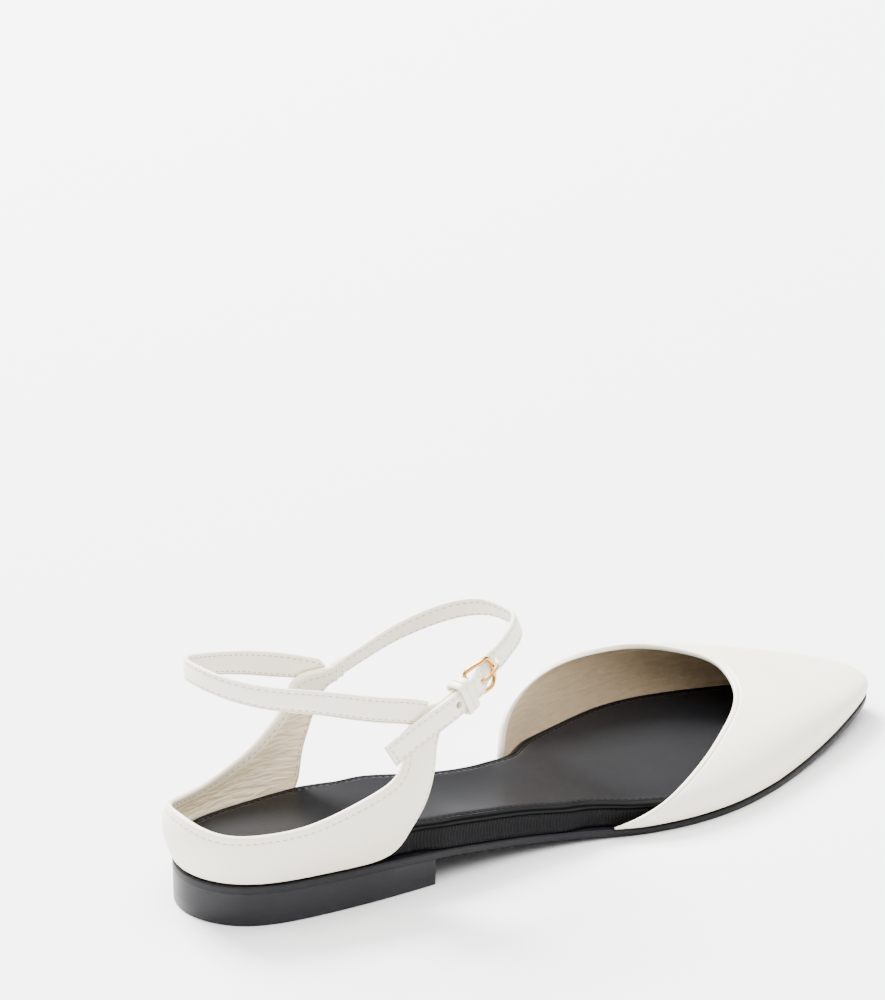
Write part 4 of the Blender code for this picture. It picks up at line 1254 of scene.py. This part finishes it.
def make_tape(name, side_of_foot, start, end):
    """Tape along one side, from one share of the length to another."""
    y, outer, inner = two_sides(moved_inward(outline(), footbed_inset()), SIDE_STEPS)
    keep = (y > along(start)) & (y < along(end))
    x = (outer if side_of_foot > 0 else inner)[keep]
    y = y[keep]
    course = np.stack([x, y, y * 0], 1)
    places = np.arange(0, run_along(course)[-1], RIB_PITCH / RIB_POINTS)
    course = walk(course, places)
    ahead = heading(course)
    out = unit(np.stack([ahead[:, 1], -ahead[:, 0], ahead[:, 0] * 0], 1) * side_of_foot)
    low = seat_height(course[:, 1]) + TAPE_FOOT
    high = footbed_top(course[:, 1], course[:, 0]) - TAPE_HEAD
    rows = []
    for up_share, proud, ribbed in TAPE_SECTION:
        bow = RIB_BOW * math.sin(math.pi * up_share)
        bend = bow + RIB_WAVER * np.sin(places / WAVER_LENGTH)
        wave = np.abs(np.cos(math.pi * (places / RIB_PITCH + bend)))
        push = TAPE_THICKNESS * proud + RIB_HEIGHT * wave * ribbed - TAPE_SINK
        row = course + out * push[:, None]
        row[:, 2] = low + (high - low) * up_share
        rows.append(row)
    made = piece(name, np.array(rows), [TAPE], smooth=60)


# Each tape runs on under the wing behind and under the vamp in front
make_tape("side_tape_outer", 1, 0.190, 0.565)
make_tape("side_tape_inner", -1, 0.185, 0.530)

# %% [markdown]
# The vamp is lasted: the leather is pulled over the last and fixed under its feather edge. Each
# station has a line from the feather up to the topline, steep at the sides and flat over the toes.
# The topline is a folded edge, with a fine line where the fold ends. A sculpted vamp would be
# looser. Here the fullness of every line is one number of the topline's table.

# %% Vamp
# Stations round the vamp, points up each line, rows between its seam and its feather edge, and
# rows of ivory leather that turn over the topline to the inside
VAMP_COLUMNS = 170
VAMP_POINTS = 81
VAMP_STEPS = 26
VAMP_RIM = 4
# Depth of the fine line where the topline's fold ends
VAMP_GROOVE = 0.0003
# Below one, this power moves the tuck of the wall towards its foot
TUCK_POWER = 0.7


def vamp_lines(columns):
    """Lines of the vamp from the feather edge up to the topline, one per station."""
    plan = moved_inward(outline(), FEATHER_INSET)
    y = plan[:, 1]
    tip = np.argmax(y)
    start = np.argmax(y[:tip] > along(VAMP_OUTER_END))
    end = tip + np.argmax(y[tip:] < along(VAMP_INNER_END))
    feather = smooth_curve(plan[start:end + 1:4], columns)
    half = BALL_WIDTH / 2
    rows = []
    for side, station, rise, slope, full in TOPLINE:
        place = along(station)
        rows.append((half * side, place, seat_height(place) + THROAT_HEIGHT * rise, slope, full))
    rim = smooth_curve(rows, columns)
    ahead = heading(feather)
    outward = unit(np.stack([ahead[:, 1], -ahead[:, 0]], 1))
    angle = np.linspace(0, math.pi / 2, VAMP_POINTS)
    tuck = VAMP_TUCK * np.sin(math.pi * np.linspace(0, 1, VAMP_POINTS) ** TUCK_POWER)
    lines = []
    for column in range(columns):
        foot = np.array([*feather[column], seat_height(feather[column][1]) + GAP])
        top, slope, full = rim[column][:3], rim[column][3], rim[column][4]
        run = np.linalg.norm(top[:2] - foot[:2])
        rise = top[2] - foot[2] - slope * run
        inward = 1 - np.cos(angle) ** (2 / full)
        upward = np.sin(angle) ** (2 / full)
        line = foot + np.outer(inward, [*(top[:2] - foot[:2]), 0])
        line[:, 2] = foot[2] + rise * upward + slope * run * inward
        line[:, :2] += np.outer(tuck, outward[column])
        lines.append(smooth_curve(line[::4], VAMP_POINTS))
    return np.array(lines)


rows, _, count = wall_section(vamp_lines(VAMP_COLUMNS), VAMP_WALL, None, VAMP_SEAM_INSET,
                              VAMP_STEPS, 1, depth=VAMP_GROOVE)
VAMP = piece("vamp_leather", rows, [IVORY, SMOOTH_SHADED_LINING],
             wall_bands(len(rows), count, VAMP_RIM), ["vamp"], 60)

# %% [markdown]
# The counter is one band round the heel. Its wings rise on both sides to the ankle, and the outer
# wing runs on as the short strap that holds the buckle. The band is drawn between two lines, its
# lower and its upper edge, from the buckle round the heel to the inner tab. Below, it bulges out
# as the heel does, and its foot stands on the outsole. The courses of both straps come first,
# because the short strap lies under the instep strap.

# %% Courses of the straps
BACK_STEPS = 150
BACK_COURSE = strap_course(BACK_STRAP, BACK_STEPS)
# Shares of the instep strap's length between which its stations lie closer, for the buckle
BUCKLE_ZONE = (0.63, 0.78)
STEPS_ALONG = np.concatenate([
    np.linspace(0, BUCKLE_ZONE[0], 150)[:-1],
    np.linspace(*BUCKLE_ZONE, 110)[:-1],
    np.linspace(BUCKLE_ZONE[1], 1, 60),
])
INSTEP_COURSE = strap_course(INSTEP_STRAP, len(STEPS_ALONG), STEPS_ALONG)
print("length of the instep strap:", round(float(run_along(INSTEP_COURSE[0])[-1]), 4))

# %% Counter with its wings
# Points along each edge of a wing, on its foot, along the buckle strap, and up the band, and
# rows of the wall between its two seams
WING_POINTS = 100
FOOT_POINTS = 60
BUCKLE_STRAP_POINTS = 26
BAND_POINTS = 25
COUNTER_STEPS = 12
# Where the wing passes into the buckle strap, in lengths of the buckle from its middle
BUCKLE_STRAP_FROM = 1.7
# Share of the wing height up to which the bulge is full, and its span in half waves
BULGE_UP_TO = 0.5
BULGE_SPAN = 0.9
# Above this height the band is a strap of ivory leather on both faces
TAB_LEVEL = 0.044


def counter_edge(rows):
    """Points of a table of the counter's edge."""
    half = ANKLE_HALF_WIDTH
    return [(half * side, along(station), WING_HEIGHT * up) for side, station, up in rows]


def counter_lines():
    """Lines of the counter from its lower to its upper edge, from the buckle round the heel."""
    plan = moved_inward(outline(), FEATHER_INSET)
    under = -(STRAP_THICKNESS / 2 + GAP)
    roll_front = buckle_half_length() + roll_radius()
    places = np.linspace(BUCKLE_LENGTH * BUCKLE_STRAP_FROM, roll_front + GAP * 2,
                         BUCKLE_STRAP_POINTS)
    widths = [STRAP_WIDTH / 2] * len(places)
    places = np.append(places, [roll_front - GAP, buckle_half_length() + roll_radius() * 0.5])
    widths += [ROLL_LENGTH / 2, ROLL_LENGTH / 2]
    low_run, up_run = (
        [on_strap(INSTEP_COURSE, at, side * half, under) for at, half in zip(places, widths)]
        for side in (-1, 1)
    )
    edges = []
    for side, front, top, beyond, ends in (
            (1, OUTER_FRONT_EDGE, OUTER_TOP_EDGE, INNER_TOP_EDGE[0], (low_run[0], up_run[0])),
            (-1, INNER_FRONT_EDGE, INNER_TOP_EDGE, OUTER_TOP_EDGE[0], None)):
        stations, outer, inner = two_sides(plan, FOOT_POINTS, along(WING_FOOT))
        edge = outer if side > 0 else inner
        foot = [(x, y, seat_height(y) + GAP) for x, y in zip(edge[::6], stations[::6])]
        low_end, up_end = ([tuple(ends[0])], [tuple(ends[1])]) if ends else ([], [])
        knots = counter_edge([beyond, COUNTER_BACK_TOP] + top) + up_end
        run = run_along(np.array(knots))
        shares = np.linspace(run[1] / run[-1], 1, WING_POINTS)
        edges.append((smooth_curve(foot + counter_edge(front) + low_end, WING_POINTS),
                      smooth_curve(knots, WING_POINTS, shares=shares)))
    lower = np.vstack([low_run[:0:-1], edges[0][0][::-1], edges[1][0][1:]])
    upper = np.vstack([up_run[:0:-1], edges[0][1][::-1], edges[1][1][1:]])
    share = np.linspace(0, 1, BAND_POINTS)[:, None, None]
    grid = lower * (1 - share) + upper * share
    flow = np.gradient(grid, axis=1)
    out = unit(np.stack([-flow[..., 1], flow[..., 0]], -1))
    height = np.clip(2 - grid[..., 2] / (WING_HEIGHT * BULGE_UP_TO), 0, 1)
    bulge = COUNTER_BULGE * np.sin(math.pi * share[..., 0] * BULGE_SPAN) * height
    grid[..., :2] += out * bulge[..., None]
    return grid.transpose(1, 0, 2)


rows, COUNTER_SEAMS, count = wall_section(counter_lines(), COUNTER_WALL, FRONT_SEAM_INSET,
                                          RIM_SEAM_INSET, COUNTER_STEPS, -1)
COUNTER = piece("counter_leather", rows, [IVORY, CREASED_LINING], wall_bands(len(rows), count),
                ["heel_counter"], 60)
for face in COUNTER.data.polygons:
    if face.center.z > TAB_LEVEL:
        face.material_index = 0

# %% [markdown]
# Straps are cut from the same leather, folded on both sides and stitched along the edges. The
# instep strap climbs over the buckle's rear bar and dips under its front, and it has three
# punched holes. The holes are cut by a Boolean and the result is kept as a plain mesh.

# %% Straps
# Points across a strap before its section is made, rows between its two seams, the swell of its
# face in the middle and the depth of a seam's groove
STRAP_POINTS = 9
STRAP_STEPS = 2
STRAP_CROWN = 0.00015
STRAP_GROOVE = 0.0002
# Reach of the punch on each side of the strap, and the sides of its round end
PUNCH_REACH = 0.004
PUNCH_SIDES = 28


def strap_lines(course, lift=None):
    """Lines across a strap's outer face, lifted where a lift is given."""
    centre, _, outward, upward, width = course
    face = centre + outward * STRAP_THICKNESS / 2
    if lift is not None:
        face = face + outward * lift[:, None]
    share = np.linspace(-0.5, 0.5, STRAP_POINTS)[None, :, None]
    return face[:, None] + upward[:, None] * share * STRAP_WIDTH * width[:, None, None]


def strap_piece(name, course, replaces, lift=None):
    """A strap as one closed piece, and the courses of its seams."""
    side = 1 if np.sum(np.cross(course[1], course[3]) * course[2]) > 0 else -1
    rows, seams, _ = wall_section(strap_lines(course, lift), STRAP_THICKNESS, STRAP_SEAM_INSET,
                                  STRAP_SEAM_INSET, STRAP_STEPS, side,
                                  crown=STRAP_CROWN, depth=STRAP_GROOVE)
    made = piece(name, rows, [IVORY], replaces=replaces, smooth=60)
    return made, seams


def punch(made, places):
    """Round holes through the strap, cut by a Boolean that is applied at once."""
    body = bmesh.new()
    for place in places:
        low, high = (Vector(on_strap(INSTEP_COURSE, place, 0, side * PUNCH_REACH))
                     for side in (-1, 1))
        turn = Vector((0, 0, 1)).rotation_difference(high - low).to_matrix().to_4x4()
        bmesh.ops.create_cone(body, cap_ends=True, segments=PUNCH_SIDES,
                              radius1=HOLE_DIAMETER / 2, radius2=HOLE_DIAMETER / 2,
                              depth=(high - low).length,
                              matrix=Matrix.Translation((low + high) / 2) @ turn)
    cutter = stand("punch", body)
    cut = made.modifiers.new("holes", "BOOLEAN")
    cut.operation = "DIFFERENCE"
    cut.solver = "EXACT"
    cut.object = cutter
    seen = made.evaluated_get(bpy.context.evaluated_depsgraph_get())
    done = bpy.data.meshes.new_from_object(seen)
    made.modifiers.clear()
    made.data = done
    done.set_sharp_from_angle(angle=math.radians(60))
    bpy.data.objects.remove(cutter)


_, BACK_SEAMS = strap_piece("back_strap_leather", BACK_COURSE, ["heel_counter"])
run = run_along(INSTEP_COURSE[0])
INSTEP, INSTEP_SEAMS = strap_piece("instep_strap_leather", INSTEP_COURSE, ["instep_strap"],
                                   strap_lift(run - BUCKLE_AT * run[-1]))
punch(INSTEP, [PRONG_HOLE_AT + number * HOLE_PITCH for number in (-1, 0, 1)])
print("holes at", PRONG_HOLE_AT, "and every", HOLE_PITCH)

# %% [markdown]
# The inner tab of the counter and the instep strap meet in a lapped seam. A short folded strip
# covers the joint, with a row of stitches on each side of the fold. A rounded box would miss the
# fold, so the strip is a chain of flattened loops round the strap, each with its own size.

# %% Lapped seam at the inner ankle
# How far the strip stands out over the strap's edges and faces
LAP_SIDE = 0.0001
LAP_FACE = 0.00035
# Loops along the strip: place along the strap, share of the width and of the thickness
LAP_LOOPS = [
    (-0.0028, 0.90, 0.55),
    (-0.0026, 0.98, 0.85),
    (-0.0022, 1.0, 1.0),
    (-0.0012, 1.0, 1.02),
    (-0.0007, 1.0, 0.98),
    (-0.0005, 0.98, 0.80),
    (-0.0003, 1.0, 0.98),
    (0.0002, 1.0, 1.02),
    (0.0012, 1.0, 1.0),
    (0.0016, 0.98, 0.85),
    (0.0018, 0.90, 0.55),
]
# Places of its two rows of stitches along the strap, and their lift over the strip
LAP_SEAMS = (-0.0017, 0.0007)
LAP_THREAD_LIFT = 0.00002
# Points round a loop, how square it is, and points along a row of stitches
LAP_POINTS = 49
LAP_SQUARE = 5
SEAM_POINTS = 20


def flattened_loop(points, square):
    """Shares across and out of a closed loop that is squarer the higher the number."""
    turns = np.linspace(0, 2 * math.pi, points)
    across = np.sign(np.cos(turns)) * np.abs(np.cos(turns)) ** (2 / square)
    out = np.sign(np.sin(turns)) * np.abs(np.sin(turns)) ** (2 / square)
    across[-1], out[-1] = across[0], out[0]
    return across, out


def make_lapped_seam():
    """The strip over the joint and the courses of its stitches."""
    centre, forward, outward, upward = (part[0] for part in INSTEP_COURSE[:4])
    half, thick = STRAP_WIDTH / 2 + LAP_SIDE, STRAP_THICKNESS / 2 + LAP_FACE
    across, out = flattened_loop(LAP_POINTS, LAP_SQUARE)
    rows = np.array([centre + forward * at + np.outer(across * (half * wide), upward)
                     + np.outer(out * (thick * high), outward) for at, wide, high in LAP_LOOPS])
    made = piece("lapped_seam", rows, [IVORY], replaces=["heel_counter", "instep_strap"], smooth=50)
    courses = []
    for place in LAP_SEAMS:
        for side in (-1, 1):
            line = [centre + forward * place + upward * at + outward * side * (thick + LAP_THREAD_LIFT)
                    for at in np.linspace(-half, half, SEAM_POINTS)]
            courses.append((np.array(line), np.tile(outward * side, (SEAM_POINTS, 1))))
    return made, courses


LAPPED_SEAM, LAPPED_COURSES = make_lapped_seam()


# %% [markdown]
# The stitches of the upper follow the seams that each wall handed back, on both faces where the
# inside shows. They stop where a seam runs down to the outsole, because the thread is hidden
# there. All of them are one piece, so that hundreds of threads stay light.

# %% Stitches of the upper
# Heights above which the stitches of the counter's front edge and of its rim inside show
FRONT_STITCH_LEVEL = 0.022
RIM_STITCH_LEVEL = 0.026
# Half the length of the row across the strap's end, its points, and its lift over the face
END_ROW_HALF = 0.0026
END_ROW_POINTS = 14
END_ROW_LIFT = 0.0001
# A run of fewer points than this gets no stitches
SHORTEST_RUN = 5


def across_end(course, inset):
    """Courses across the last end of a strap, on both faces."""
    centre, forward, outward, upward, _ = course
    middle = centre[-1] - forward[-1] * inset
    reach = np.linspace(-END_ROW_HALF, END_ROW_HALF, END_ROW_POINTS)
    line = np.array([middle + upward[-1] * at for at in reach])
    lift = outward[-1] * (STRAP_THICKNESS / 2 + END_ROW_LIFT)
    normals = np.tile(outward[-1], (END_ROW_POINTS, 1))
    return [(line + lift * side, normals * side) for side in (-1, 1)]


def above(course, level):
    """The unbroken runs of a course over a level, without the shortest."""
    points, normals = course
    keep = points[:, 2] > level
    starts = np.flatnonzero(np.diff(np.concatenate([[0], keep.astype(int), [0]])))
    return [(points[a:b], normals[a:b]) for a, b in zip(starts[::2], starts[1::2])
            if b - a >= SHORTEST_RUN]


upper_courses = [COUNTER_SEAMS["high"]]
upper_courses += above(COUNTER_SEAMS["low"], FRONT_STITCH_LEVEL)
upper_courses += above(COUNTER_SEAMS["low inside"], FRONT_STITCH_LEVEL)
upper_courses += above(COUNTER_SEAMS["high inside"], RIM_STITCH_LEVEL)
upper_courses += list(BACK_SEAMS.values()) + list(INSTEP_SEAMS.values())
upper_courses += LAPPED_COURSES + across_end(INSTEP_COURSE, STRAP_SEAM_INSET)
stitches("upper_stitches", upper_courses, SHADED_IVORY_THREAD)

# %% [markdown]
# The keeper is a narrow loop with a groove round its middle. It is a section of thirteen points
# swept round a flattened loop, so the groove is part of the section. A bent box with a cut groove
# would need its corners rounded one by one.

# %% Keeper
# Points round the keeper's loop, and how square it is
KEEPER_POINTS = 97
KEEPER_SQUARE = 7
# Section of the keeper: share of its half width and of its thickness
KEEPER_SECTION = [
    (-1.0, 0.2),
    (-1.0, 0.75),
    (-0.86, 0.97),
    (-0.45, 1.05),
    (-0.14, 0.95),
    (0.0, 0.4),
    (0.14, 0.95),
    (0.45, 1.05),
    (0.86, 0.97),
    (1.0, 0.75),
    (1.0, 0.2),
    (0.9, 0.0),
    (-0.9, 0.0),
    (-1.0, 0.2),
]


def make_keeper():
    """Leather loop round the buckle strap and the strap's free end."""
    start = buckle_half_length() + roll_radius() + GAP
    centre, forward, outward, upward = frame_on(INSTEP_COURSE, start + KEEPER_WIDTH / 2)
    top = STRAP_THICKNESS / 2 + 2 * GAP
    bottom = -(STRAP_THICKNESS / 2 + GAP + COUNTER_WALL + GAP)
    half_height, middle = (top - bottom) / 2, (top + bottom) / 2
    across, out = flattened_loop(KEEPER_POINTS, KEEPER_SQUARE)
    loop = np.stack([across * (STRAP_WIDTH / 2 + 2 * GAP), out * half_height, across * 0], 1)
    loop = walk(loop, np.linspace(0, run_along(loop)[-1], KEEPER_POINTS))
    ahead = heading(loop, closed=True)
    normal = unit(np.stack([ahead[:, 1], -ahead[:, 0]], 1))
    rows = []
    for wide, high in KEEPER_SECTION:
        flat = loop[:, :2] + normal * high * KEEPER_THICKNESS
        rows.append(centre + np.outer(flat[:, 0], upward) + np.outer(flat[:, 1] + middle, outward)
                    + forward * (KEEPER_WIDTH / 2 * wide))
    return piece("keeper_leather", np.array(rows), [IVORY], replaces=["keeper"], smooth=50)


make_keeper()

# %% [markdown]
# The buckle is a bent ring of wire with a straight rear bar. Its wire is a quarter wider than
# high. The prong is a thinner round wire that curls round the bar and lies over the front of the
# ring. A curve with a bevel would give both, but a swept circle keeps the section upright.

# %% Buckle ring and prong
# Points along the ring and the prong, and round their wire
RING_POINTS = 140
PRONG_POINTS = 60
WIRE_POINTS = 19
# Width of the ring's wire as a share of its height, and radius of the prong's tip
RING_WIDER = 1.25
PRONG_TIP = 0.6
# The radius falls evenly between these shares, and is held between one and that of the tip
PRONG_TAPER = (14, 0.35)


def wire_piece(name, points, radii, closed, plane, replaces, wide=1.0):
    """A wire swept along its centre line. A width over one makes it wider in its plane."""
    points = np.array(points)
    ahead = heading(points, closed)
    side = unit(np.cross(ahead, plane))
    rise = unit(np.cross(side, ahead))
    radii = np.broadcast_to(radii, len(points))[:, None]
    rows = [points + (side * wide * math.cos(turn) + rise * math.sin(turn)) * radii
            for turn in np.linspace(0, 2 * math.pi, WIRE_POINTS)]
    made = piece(name, np.array(rows), [GOLD], replaces=replaces, smooth=80)


_, _, RING_OUT, RING_UP = frame_on(INSTEP_COURSE, 0)
ring = smooth_curve(buckle_ring(INSTEP_COURSE), RING_POINTS, closed=True)
ring[-1] = ring[0]
wire_piece("buckle_ring", ring, BUCKLE_WIRE / 2, True, RING_OUT, ["buckle_frame"], RING_WIDER)
prong = smooth_curve([(place, 0.0, height) for place, height in PRONG_LINE], PRONG_POINTS)
prong = [on_strap(INSTEP_COURSE, place, 0, height) for place, _, height in prong]
taper = PRONG_WIRE / 2 * np.clip(np.linspace(*PRONG_TAPER, PRONG_POINTS), PRONG_TIP, 1)
wire_piece("buckle_tongue", prong, taper, False, RING_UP, ["buckle_prong"])

# %% [markdown]
# The short strap folds round the rear bar on both sides of the prong, and a slot between the two
# halves leaves the prong room. Each half is a section of six points spun once round the bar.

# %% Fold of leather round the rear bar
# Rounding of the fold's ends, and steps of a full turn
FOLD_SOFTNESS = 0.0002
FOLD_STEPS = 36


def make_fold():
    """Leather sleeve round the rear bar, in two halves with room for the prong between."""
    body = bmesh.new()
    half, slot = ROLL_LENGTH / 2, PRONG_SLOT / 2
    outer, inner = roll_radius(), BUCKLE_WIRE / 2 + GAP
    soft = FOLD_SOFTNESS
    for first, last in ((-half, -slot), (slot, half)):
        section = [(inner, first), (outer - soft, first), (outer, first + soft),
                   (outer, last - soft), (outer - soft, last), (inner, last)]
        verts = [body.verts.new((radius, 0.0, level)) for radius, level in section]
        edges = [body.edges.new(pair) for pair in zip(verts, verts[1:] + verts[:1])]
        bmesh.ops.spin(body, geom=verts + edges, cent=(0, 0, 0), axis=(0, 0, 1),
                       angle=2 * math.pi, steps=FOLD_STEPS, use_merge=True)
    centre, forward, outward, upward = frame_on(INSTEP_COURSE, buckle_half_length())
    turn = Matrix([Vector(forward), Vector(outward), Vector(upward)]).transposed().to_4x4()
    place = Matrix.Translation(Vector(centre + outward * rear_bar_height()))
    bmesh.ops.transform(body, matrix=place @ turn, verts=body.verts)
    bmesh.ops.remove_doubles(body, verts=body.verts, dist=MERGE_DISTANCE)
    return settle("buckle_fold", body, [IVORY], ["heel_counter"], 50)


make_fold()

# %% [markdown]
# The floor is a plain pale board that runs out of the picture on every side. It is one flat grid,
# and the shoe's shadow lies on it as on a studio table.

# %% Floor
# Half the side of the floor
FLOOR_HALF = 12


def studio_floor():
    # Matt painted board, pale grey
    made, tree, shader, place = new_finish("pale_studio_floor", "EDEDED", 0.9,
                                           Specular_IOR_Level=0.1)
    two_tone(tree, shader, place, 1.5, "ECECEC", "EEEEEE")
    body = bmesh.new()
    bmesh.ops.create_grid(body, x_segments=2, y_segments=2, size=FLOOR_HALF)
    floor = stand("studio_floor", body)
    floor.data.materials.append(made)
    print("floor of", FLOOR_HALF * 2, "metres")


studio_floor()

# %% [markdown]
# One large soft key light stands on the shoe's inner side, so that the shadow falls towards the
# camera. The room is bright above and dim at the walls, as under a tent of white cloth. A room
# of one brightness would wash out the black leathers, and lamps alone would leave them dead.

# %% Lights and room
# Where the key light stands and points, its side and its power
KEY_PLACE = (-2.4, 0.1, 2.6)
KEY_TARGET = (0.0, 0.09, 0.02)
KEY_SIZE = 1.5
KEY_WATTS = 600
# Heights of a unit ball between which the walls turn into the ceiling, and the light of both
WALL_TOP, CEILING_EDGE = 0.45, 0.95
WALL_LIGHT, CEILING_LIGHT = 0.45, 7.0


def soft_light(name, place, size, watts, target):
    """A square area light that points at a target."""
    lamp = bpy.data.lights.new(name, "AREA")
    lamp.shape = "SQUARE"
    lamp.size = size
    lamp.energy = watts
    made = bpy.data.objects.new(name, lamp)
    made.location = place
    made.rotation_euler = (Vector(target) - Vector(place)).to_track_quat("-Z", "Y").to_euler()
    bpy.context.scene.collection.objects.link(made)


def bright_ceiling(low, high, dim, bright):
    """A room whose light comes from above: dim walls below one height, bright above another."""
    room = bpy.data.worlds.new("studio_room")
    room.use_nodes = True
    tree = room.node_tree
    place = node(tree, "ShaderNodeTexCoord")
    parts = node(tree, "ShaderNodeSeparateXYZ", links={"Vector": (place, "Generated")})
    climb = node(tree, "ShaderNodeMapRange", {"interpolation_type": "SMOOTHSTEP"},
                 {"From Min": low, "From Max": high, "To Min": dim, "To Max": bright},
                 {"Value": (parts, "Z")})
    back = tree.nodes["Background"]
    back.inputs["Color"].default_value = linear("FDFDFD")
    tree.links.new(climb.outputs["Result"], back.inputs["Strength"])
    bpy.context.scene.world = room


soft_light("key", KEY_PLACE, KEY_SIZE, KEY_WATTS, KEY_TARGET)
bright_ceiling(WALL_TOP, CEILING_EDGE, WALL_LIGHT, CEILING_LIGHT)
print("lights: key and bright ceiling")

# %% [markdown]
# The camera stands where the photographer stood: behind the shoe, to its outer side, looking
# down through a long lens from about 1.6 metres away. Its place and direction were worked out
# from the shoe's own sizes and from where its lines lie in the photograph.

# %% Camera
# Width of the sensor and focal length in millimetres, and how far the camera sees in metres
SENSOR_WIDTH = 36.0
FOCAL_LENGTH = 185.04
FAR_LIMIT = 50.0
CAMERA_PLACE = (1.1882, -0.7683, 0.7069)
CAMERA_DIRECTION = (-0.75964, 0.52816, -0.37946)
lens = bpy.data.cameras.new("camera")
lens.sensor_fit = "AUTO"
lens.sensor_width = SENSOR_WIDTH
lens.lens = FOCAL_LENGTH
lens.clip_end = FAR_LIMIT
camera = bpy.data.objects.new("camera", lens)
camera.location = CAMERA_PLACE
camera.rotation_euler = Vector(CAMERA_DIRECTION).to_track_quat("-Z", "Y").to_euler()
bpy.context.scene.collection.objects.link(camera)
bpy.context.scene.camera = camera
print("camera focal length", lens.lens)
